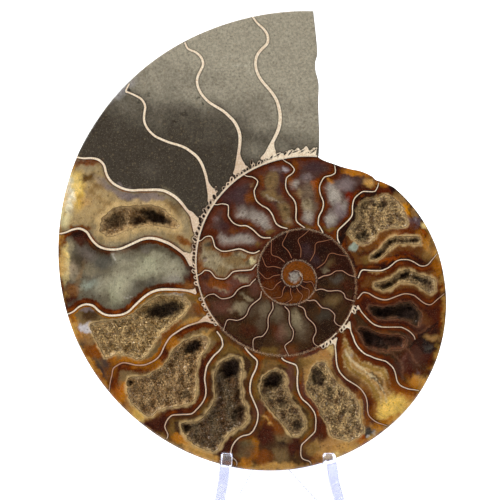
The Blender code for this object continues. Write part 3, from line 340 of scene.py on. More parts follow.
    "877.4 .94 .8 2 slate .5 .5 30,877.6 .33 5.1 1.9 rust .85 .5 48,878.7 .87 3.6 2.4 rust .95 .5 -30,"
    "879.9 .91 3.5 1.9 rust .95 .5,881.5 .04 2.9 1.9 rust .8 .5 40,882.8 .97 1.3 1.6 slate .9 .5 -30,"
    "883.9 .94 2.9 1.9 rustTan .7 .7 -20,886.1 .9 3.5 1.4 violetWhite .9 .5,"
    "886.7 .98 1 2.6 honey .9 .5 -20,888.1 .05 2.9 1 olive .8 .5,889.3 .99 1.6 .6 rust .9 .5 -20,"
    "889.4 .84 2.6 2.1 umber .9 .5,891.1 .84 3.5 .6 violetGrey .8 .5,891.9 .18 3.9 .5 greyWhite .7 .5 5,"
    "893.3 .53 1 .4 greyWhite .8 .5 -20,894.9 .36 .3 .9 rustTan .9 .4 20,"
    "895.3 .07 1.3 1.9 rust .95 .5 -20,895.7 .94 2.6 3.5 maroon .95 .5 -20,"
    "895.9 .6 2.2 4.5 paleGreen .6 .8 -10,896.5 .47 2.2 2.9 stoneGrey .5 .8,896.9 .87 .3 .4 black .8 .5,"
    "898.1 .76 2.9 3.9 stoneGrey .6 .8,898.5 .6 .5 .4 black .5 .5,899.7 .18 2.6 1.9 greyWhite .5 .7,"
    "899.8 .51 6.4 1.3 paleGreen .4 .8 25,901.5 .84 3.9 .8 rustTan .4 .7 70,"
    "901.9 .06 1.1 3.2 maroon .9 .5,903.4 .95 1.4 5.5 creamYellow .95 .5,"
    "904.4 .67 4.8 1.9 stoneGrey .8 .7 10,904.7 .3 .4 .5 black .8 .5,905 .33 5.5 2.9 paleGreen .7 .8 25,"
    "906 .59 .3 1.1 white .9 .4,906.6 .79 3.2 2.6 violetGrey .5 .7,907.4 .91 1 3.2 greyTan .6 .6,"
    "908.8 .98 1.6 1.9 rust .9 .5,910.2 .58 5.1 1.4 greyTan .7 .5 -5,910.4 .84 2.9 2.6 maroon .9 .5 -20,"
    "910.8 .36 1.9 1 greyWhite .6 .6 20,911.2 .87 1.9 1 black .7 .6,913 .85 3.9 .7 rust .9 .4,"
    "913.6 .72 1.9 2.6 greyTan .6 .6,915.1 .96 1.6 4.2 paleYellow .7 .6,916.4 .63 5.8 3.9 umber .6 .9 20,"
    "916.5 .9 2.9 3.5 tan .5 .8,917.5 .3 8 1.3 greyTan .6 .5 5,917.8 .09 2.9 1.1 rust .9 .5 -35,"
    "919.2 .98 1.9 8 paleYellow .9 .5 -12,919.8 .94 1.3 .3 black .8 .5,921.7 .92 2.2 5.5 yellow .8 .7,"
    "924.9 .13 1.9 3.5 greyTan .7 .5 20,925.6 .88 2.6 1.3 umber .8 .6 20,"
    "926.3 .62 8.4 1.8 violetGrey .8 .5 -28,927.5 .91 3.9 1 greyTan .6 .6,"
    "928.6 .44 8 1.4 violetGrey .8 .5,929 .91 4.2 1.1 redBrown .8 .5,932.3 .24 5.1 1.6 greyTan .7 .5 -50,"
    "947.3 1 4.8 1.9 haze .5 .8 40,948.7 .85 .8 .4 black .8 .4 60,948.7 .95 .9 .4 black .9 .4,"
    "949.5 .89 .7 .3 black .8 .4,950 .82 .6 .3 black .8 .4 80,951 .84 .7 .3 black .8 .4,"
    "952.4 .58 1.3 .3 black .7 .4,955.8 .58 1.3 .6 black .6 .5,966.5 .46 3 2 matrixMid .4 1,"
    "961.8 .61 .8 .4 black .7 .4,962.2 .56 .6 .3 black .7 .4,903.1 .5 7.5 3.4 greenPale .75 .9 80,"
    "897.8 .67 4.5 2.2 greenPale .6 .9 30,903.9 .86 4 3 oliveDark .75 .9 60,"
    "906.7 .21 3 4 oliveDark .8 .8,911.1 .39 5.5 1.5 oliveDark .7 .8 -8,"
    "907.8 .71 5 1.6 oliveDark .7 .8 -25,896 .35 4.5 1.4 oliveDark .5 .8 -15,"
    "897.7 .8 3 1.2 greenWhite .5 .8 20,907.1 .57 2.6 1.6 greenPale .5 .8 70,"
    "925.6 .87 1.6 1 brownMottle .6 .8 30,925 .81 1.3 1 brownMottle .6 .8,"
    "922.8 .89 1.2 .8 brownMottle .5 .8,922.8 .82 1.4 1 brownMottle .6 .8 40,"
    "924.8 .77 1.5 .9 brownMottle .5 .8,920.4 .9 1.1 .8 brownMottle .5 .8,"
    "921.9 .76 1.6 1 brownMottle .5 .8 -30,921.1 .68 2.2 1.4 brownMottle .55 .9 -30,"
    "918.3 .7 2.4 2 brownMottle .5 .9,916.2 .63 2.6 1.6 brownMottle .45 .9 -20,"
    "740 .71 2.6 2 rimMauveDark .75 .9 -40,749 .65 3.2 1.6 rimMauveDark .7 .9 40,"
    "753 .79 3.4 2.4 rimMauveDark .75 .9 60,760.8 .7 2.2 2 rimMauveDark .7 .9 60,"
    "767.6 .73 2.6 2.2 rust .6 .9 60,745.9 .81 2.6 1.8 nearBlack .8 .8 -60,"
    "746 .95 2.2 2.6 pitDark .85 .8 80,743.6 .91 1 3 honeyDull .75 .6 85,"
    "747.7 .9 1 1.4 stoneGrey .55 .8 60,740.6 .97 1.4 3.2 nearBlack .7 .8 85,"
    "755.3 .94 2.4 1.6 umber .7 .9 -50,761.8 .91 3 1.6 amber .75 .9 -50,"
    "759.7 1.05 2.4 1.4 amberBright .7 .9 -50,757.3 .89 1.6 1.2 rustDark .7 .9,"
    "757.8 .88 .7 .9 violetGrey .5 .8,766.4 .87 3.2 1.4 ember .6 .9 -20,"
    "737.6 .77 3 1.4 brownAmber .6 .9 -50,736.6 .63 3 1.6 rustDark .7 .9 -20,"
    "904 .2 3.4 2.6 greenPale .75 .9,902.5 .1 2 1.6 greenPale .5 .9,903.1 .48 3.2 2.6 calcite .45 .9,"
    "963.1 .19 6.5 5 matrixDark .7 .9,959.2 .38 6.5 5.5 matrixDark .65 .9,954.3 .46 5 5 matrixDark .5 .9,"
    "949.3 .57 5 4.6 matrixDark .5 .9,967 .3 4.6 4.6 matrixDark .5 .9,941.4 .21 6 6 matrixDark .5 .9,"
    "975.8 .38 4.2 4.2 matrixMid .4 .9,873.7 .88 3.4 2.6 rustDark .55 .9 -40,"
    "698.8 .79 2.6 2.6 rust .5 .9,708.8 .92 2 3.6 honey .5 .9,926.8 .24 3.6 3.2 brownMottle .4 .9,"
    "920.2 .19 3.6 3.2 brownMottle .4 .9,824.2 .85 3.6 2.4 rustDark .5 .9,"
    "796.9 .74 2.6 2.6 rustDark .5 .9,783.8 .5 3.2 2.2 rustDark .7 .9 60,909.3 .48 3.2 2 umber .4 .9 -10,"
    "696.9 .81 2.2 2.2 rustDark .5 .9,640.3 .53 2.6 2.6 greyTan .35 .9,644.8 .27 2.6 2.4 greyTan .35 .9,"
    "928.3 .25 3 3 umber .35 .9,952.3 .86 4.6 4.6 matrixPale .35 .9,970.8 .13 4 3 matrixPale .3 .9,"
    "796.9 .74 3 2.6 rustDark .5 .9,867.2 .64 3.2 3 rustDark .45 .9,151.6 .74 2.6 2.6 rust .4 .9,"
    "454.6 .5 3 3 greyTan .3 .9,486.3 .19 3 3 greyTan .3 .9,914.3 .64 3 2.4 tan .3 .9,"
    "902.7 .34 3.4 3 greenPale .45 .9,901.8 .92 2.6 2.6 creamDull .3 .9,882.4 .12 3 2.6 rustDark .35 .9,"
    "829 .82 2.2 2.2 maroon .6 .9,833 .79 2 2 maroon .5 .9,858.6 .93 3.2 1.7 corn .75 .9 40,"
    "867.4 .95 3 2 ember .6 .9 40,875.2 .89 2.4 1.2 slate .8 .8 -60,879.3 .91 2.6 2 rust .6 .9,"
    "830.5 1.04 3 1 umber .6 .9,819.3 1.03 4 1 umber .5 .9,808.3 1.02 3 1.2 rustDark .6 .9,"
    "830.7 .84 2.6 2 maroon .75 .5,783.8 .5 2.6 2.2 rustDark .6 .6,798.2 .89 3 2 rustTan .4 .6,"
    "856.9 .88 2.8 2.2 honey .5 .6,893.9 .07 2.5 2 rustTan .4 .7,910.6 .48 3 1.2 maroon .5 .5,"
    "824.9 .11 2.6 2.2 honeyDull .35 .7,844.3 .82 2.8 2.2 rustDark .5 .6,"
    "921.3 .96 2.4 2.6 creamYellow .5 .7,828.4 .49 2.4 2.4 maroon .4 .7,697.9 .81 2.6 2 rustDark .5 .6,"
    "787.3 .66 2.4 2 rustDark .35 .7,901.9 .77 2.6 2.2 greyTan .35 .7,896.6 .92 2.4 2 rustTan .45 .6,"
    "596.5 .53 2.4 2.4 maroonDark .3 .7,930.1 .25 3 1.2 brownMottle .4 .7 -20,"
    "962.8 .18 3 2.4 matrixDark .6 .8,453.4 .89 2.4 2 rust .45 .7,826.1 .66 2.4 2.2 maroon .4 .6,"
    "503.2 .41 2.6 2.2 greyBrown .5 .7,689.6 .88 2.2 1.8 amberBright .35 .6,"
    "914.9 .64 2.6 2 honeyDull .4 .7,936.5 .5 3 2.6 matrixMid .5 .8,576.1 .59 2.4 2 maroon .4 .7,"
    "626.3 .28 2.2 2.2 tanBrown .4 .7,908.8 .26 3.2 1.6 greenPale .5 .8 -10,"
    "907.2 .14 2.4 1.4 greenPale .4 .8 -20,895.7 .59 1.8 3.2 greenPale .45 .8 10,"
    "902.6 .41 3 1.2 greenPale .35 .8 30,906.9 .48 2.6 1.4 slateDark .4 .8,"
    "904.3 .71 3 2.4 slateDark .3 .8,907.8 .61 2.4 1.2 stoneGrey .4 .8 20,"
    "896.7 .34 2.4 1.8 stoneGrey .45 .8,903.1 .07 1.2 2 slateDark .4 .8,"
    "919.5 .99 1.4 4.2 creamYellow .8 .7 10,915 .98 1.2 3.2 paleYellow .7 .7,903.7 .97 .9 4 honey .7 .8,"
    "925.9 .53 3.2 1.2 oliveDark .3 .9 25,821.7 .42 2.2 1.6 maroon .5 .6,819.9 .63 2 1.6 maroon .6 .6,"
    "814.2 .79 1.6 1.4 maroonDark .6 .6,921.9 .99 1.6 5 ivory .8 .8 12,"
    "923.5 .95 2 3 creamYellow .5 .8 12,919.7 .85 2.4 1.8 honeyDull .6 .8,918 .97 1.4 3 ivory .5 .8 12,"
    "715.2 .94 1.4 4.5 amber .5 .8,732.7 .94 1.4 3.2 rustDark .5 .8,699.1 .45 4 1.6 rust .35 .8 -20,"
    "782.5 .47 2.6 4 maroon .5 .7 -30,771.5 .3 2.2 2.6 rust .4 .7")

# Banded chambers: the colours met going in from the walls of the chamber, each with its distance in mm
layers = {
    "D": ((0.0, "maroon"), (0.6, "rustDark"), (1.5, "redBrown"), (2.1, "brownAmber"), (2.4, "paleRim"),
          (2.8, "oliveGold"), (3.8, "oliveGold"), (4.1, "paleRim"), (4.6, "honeyDull")),
}

# The warm band that lies in the rind of the outer chambers
rindGlow = {"colour": "ember", "strength": 0.55, "growths": (560, 700)}

# Veins, cracks and scratches: colour, half width in mm, softness, strength, and growth and share along it
veins = (
    ("paleVein", 0.34, 0.9, 0.8, "775.6 .18,775.7 .29,774.4 .37,773.2 .44,772.3 .51,771.6 .59"),
    ("paleVein", 0.26, 0.9, 0.55, "771.6 .59,771.5 .66,772.2 .75,773.7 .82"),
    ("umber", 0.14, 0.6, 0.75, "773.4 .46,772.8 .49"),
    ("nearBlack", 0.2, 0.6, 0.8, "772.5 .55,771.6 .59,771.4 .63"),
    ("nearBlack", 0.14, 0.6, 0.7, "771.6 .7,772.1 .73"),
    ("umber", 0.14, 0.6, 0.7, "772.9 .78,773.5 .81"),
    ("rimMauve", 0.3, 0.9, 0.6,
        "758.6 .06,761.4 .17,763.5 .27,762.1 .39,759.6 .48,757.9 .56,758 .62,758.9 .69,761.2 .75,"
        "763.7 .79"),
    ("nearBlack", 0.35, 0.9, 0.8, "745 .62,747 .71,748.8 .79,750.1 .85"),
    ("nearBlack", 0.3, 0.9, 0.8, "750.8 .7,746.3 .75,741.7 .83,737.4 .92"),
    ("nearBlack", 0.35, 0.9, 0.9, "750.1 .85,747.6 .94,745.1 1.01"),
    ("rimMauve", 0.25, 0.9, 0.6, "745.4 .63,745.1 .72,742.6 .79,739.9 .84"),
    ("rimMauve", 0.22, 0.9, 0.6, "751.8 .63,753 .72,754.8 .79,755.5 .86"),
    ("matrixLight", 0.2, 0.9, 0.6, "974 .7,975.6 .7,977.4 .68"),
    ("matrixLight", 0.2, 0.9, 0.6, "977.8 .6,979 .64,979.4 .66"),
    ("matrixLight", 0.2, 0.9, 0.5, "976.6 .63,977.7 .65,978.2 .69"),
    ("matrixLight", 0.2, 0.9, 0.45, "971.6 .78,973.8 .78"),
    ("matrixLight", 0.2, 0.9, 0.45, "958.8 1.03,962.1 1.03"),
    ("matrixLight", 0.2, 0.9, 0.4, "967.8 .76,969.4 .72,971 .71"),
    ("matrixLight", 0.2, 0.9, 0.4, "982 .77,984.1 .81"),
)


# Places on the face

def wallRadius(growth):
    return np.exp(np.interp(growth, coil["growths"], np.log(coil["radii"])))


def between(place, readings):
    # The value at a place, between readings of place and value
    return np.interp(place, *np.array(rowsOf(readings)).T)


def facePoints(growth, share):
    growth = np.asarray(growth, float)
    inner = wallRadius(growth - 360)
    radius = inner + np.asarray(share) * (wallRadius(growth) - inner)
    angle = np.radians(growth)
    return np.stack([radius * np.cos(angle), -radius * np.sin(angle)], axis=-1)


def placesOf(points):
    # Growth and share of points on the face
    radius = np.hypot(points[:, 0], points[:, 1])
    turn = np.degrees(np.arctan2(-points[:, 1], points[:, 0])) % 360
    growth = turn + 720
    for lap in (1, 0, -1):
        inside = wallRadius(turn + 360 * lap) >= radius
        growth = np.where(inside, turn + 360 * lap, growth)
    inner = wallRadius(growth - 360)
    return growth, np.clip((radius - inner) / (wallRadius(growth) - inner), 0.0, 1.2)


def toWorld(points, depth):
    # A point of the face, in mm to the right, up the face and into the stone, as metres in the CAD's frame
    lean = math.radians(coil["leanDegrees"])
    x, y, z = coil["centre"]
    right, up = points[:, 0], points[:, 1]
    return mm * np.stack([x + right, y + up * math.sin(lean) + depth * math.cos(lean),
                          z + up * math.cos(lean) - depth * math.sin(lean)], axis=-1)


def softNoise(points, size, seed, waves=14):
    # A smooth random field from about -1 to 1 with features of one size
    rng = np.random.default_rng(seed)
    total = np.zeros(len(points))
    for _ in range(waves):
        angle = rng.uniform(0, 2 * math.pi)
        wave = size * rng.uniform(0.6, 1.7)
        along = points[:, 0] * math.cos(angle) + points[:, 1] * math.sin(angle)
        total += np.sin(along * 2 * math.pi / wave + rng.uniform(0, 2 * math.pi))
    return total / math.sqrt(waves)


def runAlong(line):
    return np.concatenate([[0], np.cumsum(np.hypot(*np.diff(line, axis=0).T))])


def pointsAlong(line, run, places):
    return np.stack([np.interp(places, run, line[:, 0]), np.interp(places, run, line[:, 1])], axis=-1)


def twoNoises(points, size, seed):
    return np.stack([softNoise(points, size, seed), softNoise(points, size, seed + 1)], axis=-1)


def smoothLine(points, step):
    # A smooth line through the points, with a point every step
    points = np.asarray(points, float)
    ends = np.vstack([2 * points[0] - points[1], points, 2 * points[-1] - points[-2]])
    t = np.linspace(0, 1, 8, endpoint=False)[:, None]
    fine = []
    for a, b, c, d in zip(ends, ends[1:], ends[2:], ends[3:]):
        fine.append(0.5 * (2 * b + (c - a) * t + (2 * a - 5 * b + 4 * c - d) * t ** 2
                           + (3 * b - a - 3 * c + d) * t ** 3))
    fine = np.vstack(fine + [points[-1:]])
    run = runAlong(fine)
    places = np.linspace(0, run[-1], max(3, int(run[-1] / step) + 1))
    return pointsAlong(fine, run, places)


def nearPoints(points, line, reach):
    low, high = line.min(axis=0) - reach, line.max(axis=0) + reach
    return np.flatnonzero(np.all((points > low) & (points < high), axis=1))


def lineDistance(points, line, reach=6.0):
    # Distance of each point to a line, and 99 where that is beyond reach
    result = np.full(len(points), 99.0)
    near = nearPoints(points, line, reach)
    start, along = line[:-1], np.diff(line, axis=0)
    square = np.maximum((along ** 2).sum(axis=1), 1e-12)
    for chunk in np.array_split(near, 1 + len(near) * len(start) // 1500000):
        offset = points[chunk][:, None] - start
        t = np.clip((offset * along).sum(axis=2) / square, 0, 1)
        gap = offset - t[..., None] * along
        result[chunk] = np.sqrt((gap ** 2).sum(axis=2).min(axis=1)) if len(chunk) else 99.0
    return result


def insideOf(points, loop):
    result = np.zeros(len(points), bool)
    near = nearPoints(points, loop, 0.0)
    x, y = points[near].T
    flags = np.zeros(len(near), bool)
    for (ax, ay), (bx, by) in zip(loop, np.roll(loop, -1, axis=0)):
        if ay != by:
            flags ^= ((ay > y) != (by > y)) & (x < (bx - ax) * (y - ay) / (by - ay) + ax)
    result[near] = flags
    return result


def signedDistance(points, loop, reach=6.0):
    # Distance to a closed outline, negative inside it
    distance = lineDistance(points, np.vstack([loop, loop[:1]]), reach)
    return np.where(insideOf(points, loop), -distance, distance)


def smoothStep(value, low, high):
    t = np.clip((value - low) / (high - low), 0, 1)
    return t * t * (3 - 2 * t)


def ellipseMask(points, growth, share, halfLong, halfWide, softness, turn=0.0):
    # 1 in a soft ellipse and 0 outside it
    centre = facePoints(growth, share)
    angle = math.radians(turn)
    right, up = (points - centre).T
    along = (right * math.cos(angle) + up * math.sin(angle)) / halfLong
    over = (up * math.cos(angle) - right * math.sin(angle)) / halfWide
    return 1 - smoothStep(np.hypot(along, over), 1 - 0.85 * softness, 1 + 0.75 * softness)


def linear(name):
    # A named colour as linear light
    value = np.array(colours[name]) / 255
    return np.where(value < 0.04045, value / 12.92, ((value + 0.055) / 1.055) ** 2.4)


# The outline of the face, its walls and its hollows
walls = {f"i{k}": np.column_stack([innerShares, row]) for k, row in enumerate(rowsOf(innerWalls), 1)}
walls.update({name: np.array(rowsOf(text)) for name, text in septa.items()})
septumLines = {name: smoothLine(facePoints(row[:, 1], row[:, 0]), 0.4) for name, row in walls.items()}
septumNames = list(walls)
matrixFrom = septumNames.index("L") + 1


def wallAt(name, share):
    # The growth of a wall at each share
    curve = walls[name][::-1]
    return np.interp(share, curve[:, 0], curve[:, 1])


def widthOf(name):
    return septumWidths.get(name) or septumWidths[name[0]]


def faceOutline(step):
    growths = np.linspace(coil["firstGrowth"], coil["brokenFrom"], 900)
    rim = facePoints(growths, between(growths, coil["bareRim"]))
    end = facePoints(*np.array(rowsOf(coil["brokenEnd"])).T)
    whole = np.vstack([rim, smoothLine(np.vstack([rim[-1:], end, rim[:1]]), 0.5)[1:-1]])
    loop = np.vstack([whole, whole[:1]])
    run = runAlong(loop)
    return pointsAlong(loop, run, np.linspace(0, run[-1], int(run[-1] / step) + 1)[:-1])


def hollowOutline(rows):
    # Up one side of the hollow and down the other, with small steps as crystals leave
    shares, lows, highs = np.array(rowsOf(rows)).T
    low, high = facePoints(lows, shares), facePoints(highs, shares)
    loop = smoothLine(np.vstack([high, low[::-1], high[:1]]), 0.35)[:-1]
    middle = loop.mean(axis=0)
    away = (loop - middle) / np.maximum(np.hypot(*(loop - middle).T), 1)[:, None]
    return loop + away * (0.16 * softNoise(loop, 1.4, 5) + 0.1 * softNoise(loop, 0.7, 9))[:, None]


hollowLoops = {name: hollowOutline(hollow[4]) for name, hollow in hollows.items()}


# How the hollows' floor falls: its depth at the top and at the bottom end as shares of the whole, how fast it
# grows from there, and over how many mm its sides fall, outside the pits and in them
floorShape = {"top": (0.5, 0.75), "bottom": (0.55, 2.0), "sides": 1.5, "pitSides": 0.9, "pitDepth": 0.95}


def hollowFields(points):
    # How deep the crystals' floor lies at each point, and how far inside a hollow the point is
    share = placesOf(points)[1]
    floor = np.zeros(len(points))
    inside = np.full(len(points), -99.0)
    for name, loop in hollowLoops.items():
        deepest, flat = hollows[name][:2]
        near = nearPoints(points, loop, 4.0)
        depth = -signedDistance(points[near], loop)
        shares = [row[0] for row in rowsOf(hollows[name][4])]
        top, bottom = shares[0], shares[-1]
        along = np.clip((top - share[near]) / (top - bottom), 0, 1)
        (upper, growing), (lower, shrinking) = floorShape["top"], floorShape["bottom"]
        deep = deepest * np.minimum(1.0, np.minimum(upper + growing * along, lower + shrinking * (1 - along)))
        dark = darkness(points[near])
        shape = np.clip(depth / floorShape["sides"], 0, 1) ** 0.6
        steep = np.clip(depth / floorShape["pitSides"], 0, 1) ** 0.5
        reached = deep * (flat * shape * (1 - dark) + floorShape["pitDepth"] * steep * dark)
        better = depth > inside[near]
        floor[near] = np.where(better & (depth > 0), reached, floor[near])
        inside[near] = np.where(better, depth, inside[near])
    return floor, inside


def darkness(points):
    # How far each point lies in the hollows' pits, which sink deeper and carry painted shade
    warped = points + 0.3 * twoNoises(points, 2.0, 21)
    dark = np.zeros(len(points))
    for growth, share, halfLong, halfWide, turn, strength in rowsOf(pits):
        centre = facePoints(growth, share)
        near = np.flatnonzero(np.abs(points - centre).max(axis=1) < 2.5 * halfLong)
        mask = strength * ellipseMask(warped[near], growth, share, halfLong, halfWide, 0.5, turn)
        dark[near] = np.maximum(dark[near], mask)
    return dark


# The lacy seam: where the last whorl's foot is broken into cream lumps with small holes between them
lace = {
    "stretches": ((746, 770), (773, 790), (868, 1000.2)),
    "height": "746 .25,790 .25,868 .14,974 .2,982 1.1,989 2.2,996 2.8,1000 2.2",
    "spacing": "746 3,868 3.8,905 3.2,950 3,970 2.9,1000 2.5",
    "length": "746 .65,905 .6,922 .85,945 .85,954 .55,968 .8,984 1.1,1000 1.3",
    "width": "746 .32,905 .3,922 .46,945 .48,954 .32,968 .3,980 .2,1000 .22",
    "lean": "746 36,960 36,975 52,1000 58",
    "bare": ((752, 763), (771, 780), (888, 895), (946.5, 950), (984, 986)),
    "footHoles": "931.6 .035 .9 .34 60,948.4 .05 .9 .32 40,969.6 .045 .9 .36 35,985.8 .03 .8 .3 40",
}


def laceShapes():
    # A thin band on the seam, and rings that lean along it, each a hole and the width of its cream ring
    rng = np.random.default_rng(4)
    bands, holes = [], []
    angles = np.linspace(0, 2 * math.pi, 14, endpoint=False)

    def addHole(growth, share, tall, wide, lean, stroke):
        turn = math.radians(-growth - lean)
        ring = np.stack([tall * np.cos(angles), wide * np.sin(angles)], axis=-1)
        spin = np.array([[math.cos(turn), math.sin(turn)], [-math.sin(turn), math.cos(turn)]])
        holes.append((facePoints(growth, share) + ring @ spin, stroke))

    for start, end in lace["stretches"]:
        growths = np.arange(start, end, 0.25)
        high = between(growths, lace["height"]) * (0.85 + 0.25 * np.sin(growths * 1.7))
        high = high / (wallRadius(growths) - wallRadius(growths - 360))
        outer = facePoints(growths, high)
        bands.append(np.vstack([outer, facePoints(growths[::-1], np.full(len(growths), -0.003))]))
        growth = start + 1.0
        while growth < end - 1.0:
            tall, wide, gap, lean = (float(between(growth, lace[part]))
                                     for part in ("length", "width", "spacing", "lean"))
            tall, wide = tall * rng.uniform(0.65, 1.2), wide * rng.uniform(0.7, 1.25)
            whorl = float(wallRadius(growth) - wallRadius(growth - 360))
            share = (0.2 + tall * rng.uniform(0.75, 1.0)) / whorl
            if not any(low < growth < high for low, high in lace["bare"]):
                addHole(growth, share, tall, wide, lean + rng.uniform(-18, 16), rng.uniform(0.15, 0.29))
            growth += gap * rng.uniform(0.8, 1.2)
    for hole in rowsOf(lace["footHoles"]):
        addHole(*hole, 0.0)
    return bands, holes


laceBands, laceHoles = laceShapes()


def footShape(name):
    start, corner = feet[name]
    shares = np.linspace(start, 0.03, 12)
    near = wallAt(name, shares)
    spread = (1 - (shares - 0.03) / (start - 0.03)) ** 2.6
    far = near + (corner - near[-1]) * spread
    return np.vstack([facePoints(near, shares), facePoints(far[::-1], shares[::-1])])


footShapes = [footShape(name) for name in feet]


def creamDistance(points, share):
    # Distance to the nearest cream wall, negative inside it
    result = np.full(len(points), 99.0)
    for name, line in septumLines.items():
        distance = lineDistance(points, line)
        half = 0.5 * widthOf(name) * (1 + 0.25 * smoothStep(0.5 - np.abs(share - 0.25), 0.2, 0.5))
        half = half * (1 - 0.35 * smoothStep(share, 0.8, 1.0))
        result = np.minimum(result, distance - half)
    for shape in footShapes + laceBands:
        result = np.minimum(result, signedDistance(points, shape))
    sliver = (np.hypot((points[:, 0] - 7.9) / 0.55, (points[:, 1] - 66.0) / 3.5) - 1) * 0.5
    result = np.minimum(result, sliver)
    openings = [(signedDistance(points, hole, 3.0), stroke) for hole, stroke in laceHoles]
    for gap, stroke in openings:
        result = np.minimum(result, gap - stroke)
    for gap, stroke in openings:
        result = np.where(gap < 3.0, np.maximum(result, -gap), result)
    return result


def creamTone(points, growth, share):
    # How pale the cream is: the walls of the inner whorls and a few of the last one are tan
    tone = between(growth, "340 .03,370 .4,530 .55,560 .85,640 .85,665 1")
    for name, (atFoot, atRim) in wallTones.items():
        near = lineDistance(points, septumLines[name]) < 0.9
        tone[near] *= np.interp(share[near], (0.25, 0.8), (atFoot, atRim))
    feetShade = smoothStep(growth, 868, 880) * (1 - smoothStep(growth, 970, 980))
    return tone * (1 - 0.3 * feetShade * (1 - smoothStep(share, 0.12, 0.26)))


def wallDistances(points):
    # Distance to the spiral wall inside and the one outside each point, in mm
    growth = placesOf(points)[0]
    radius = np.hypot(points[:, 0], points[:, 1])
    return radius - wallRadius(growth - 360), wallRadius(growth) - radius


def chamberFields(points):
    # The chamber each point is in, how far through its rind it is, and its distance to the nearest wall
    growth, share = placesOf(points)
    bends = np.array([wallAt(name, share) for name in septumNames])
    bends[septumNames.index("C")] = np.where(share < 0.72, bends[septumNames.index("C")], 762)
    index = (bends < growth).sum(axis=0)
    distances = np.array([lineDistance(points, septumLines[n]) for n in septumNames])
    padded = np.vstack([np.full(len(points), 99.0), distances, np.full(len(points), 99.0)])
    rows = np.arange(len(points))
    low, high = padded[index, rows], padded[index + 1, rows]
    foot, rim = wallDistances(points)
    rind = np.full(len(points), 9.0)
    looks = np.zeros((3, len(points), 3))
    for number, name in enumerate(["start"] + septumNames):
        recipe = chambers.get(name) or chambers.get(name[0]) or chambers["L"]
        own = index == number
        gaps = (low, high, rim, foot)
        rind[own] = np.min([gap[own] / width for gap, width in zip(gaps, recipe)], axis=0)
        for layer in range(3):
            looks[layer, own] = linear(recipe[4 + layer])
    inwards = np.minimum(np.minimum(low, high), foot + 1.2)
    return index, rind, looks, np.minimum(np.minimum(low, high), np.minimum(rim, foot + 0.3)), inwards


coreOnly = ("greyWhite", "violetWhite", "greyTan", "paleGreen", "tanBrown", "greyBrown", "tan", "violetGrey",
            "calcite", "stoneGrey")


def blend(paints, places, share, colour):
    # Lays a colour over the paints at some places, as far as its share there
    for paint in paints:
        paint[places] += share[:, None] * (linear(colour) - paint[places])


everywhere = slice(None)
# The broad and the fine noise that bend the paint's edges, as size in mm and seed, and how far each of them
# does. Then the pale spot in the middle, the painted shade in the small holes, the hollows' fringes, the deep
# colours and the rim's painted glow of light
painting = {
    "broad": (3.0, 31), "fine": (1.0, 33), "bend": 0.35, "bendFine": 0.2, "frayed": 0.12, "frayedFine": 0.1,
    "spot": (1.5, 1.9), "holeShade": 0.85, "fringe": 0.8, "fringeInRind": 0.6, "deepest": 0.72,
    "deepUnder": (0.02, 0.22), "rimReach": (0.3, 1.9), "rimStrength": 0.8, "rimInRind": 0.7,
}


def chamberPaint(points, index, rind, looks, inwards, wobble, fine):
    # The rind's and the core's colours as the chambers are laid out
    through = np.clip(rind, 0, 1)[:, None]
    rindPaint = looks[0] * (1 - through) + looks[1] * through
    ring = between(rind + 0.12 * wobble[:, 1], ".15 0,.45 1,.6 1,.85 0")
    ring *= rindGlow["strength"] * smoothStep(placesOf(points)[0], *rindGlow["growths"])
    ring *= 0.6 + 0.7 * softNoise(points, 4.0, 38)
    blend([rindPaint], everywhere, np.clip(ring, 0, 1), rindGlow["colour"])
    corePaint = looks[2].copy()
    for name, stops in layers.items():
        own = np.flatnonzero(index == septumNames.index(name) + 1)
        ragged = inwards[own] + 0.22 * wobble[own, 0] + 0.16 * fine[own, 0]
        gaps = [gap for gap, colour in stops]
        shades = np.array([linear(colour) for gap, colour in stops])
        banded = np.stack([np.interp(ragged, gaps, channel) for channel in shades.T], axis=-1)
        corePaint[own] = rindPaint[own] = banded
    matrix = index >= matrixFrom
    drift = 3.0 * softNoise(points, 9.0, 71) + 1.2 * softNoise(points, 3.0, 72)
    lighter = smoothStep(points[:, 1] + 0.35 * points[:, 0] + drift, 24, 62)[matrix, None]
    corePaint[matrix] = linear("matrixDark") * (1 - lighter) + linear("matrixPale") * lighter
    return rindPaint, corePaint


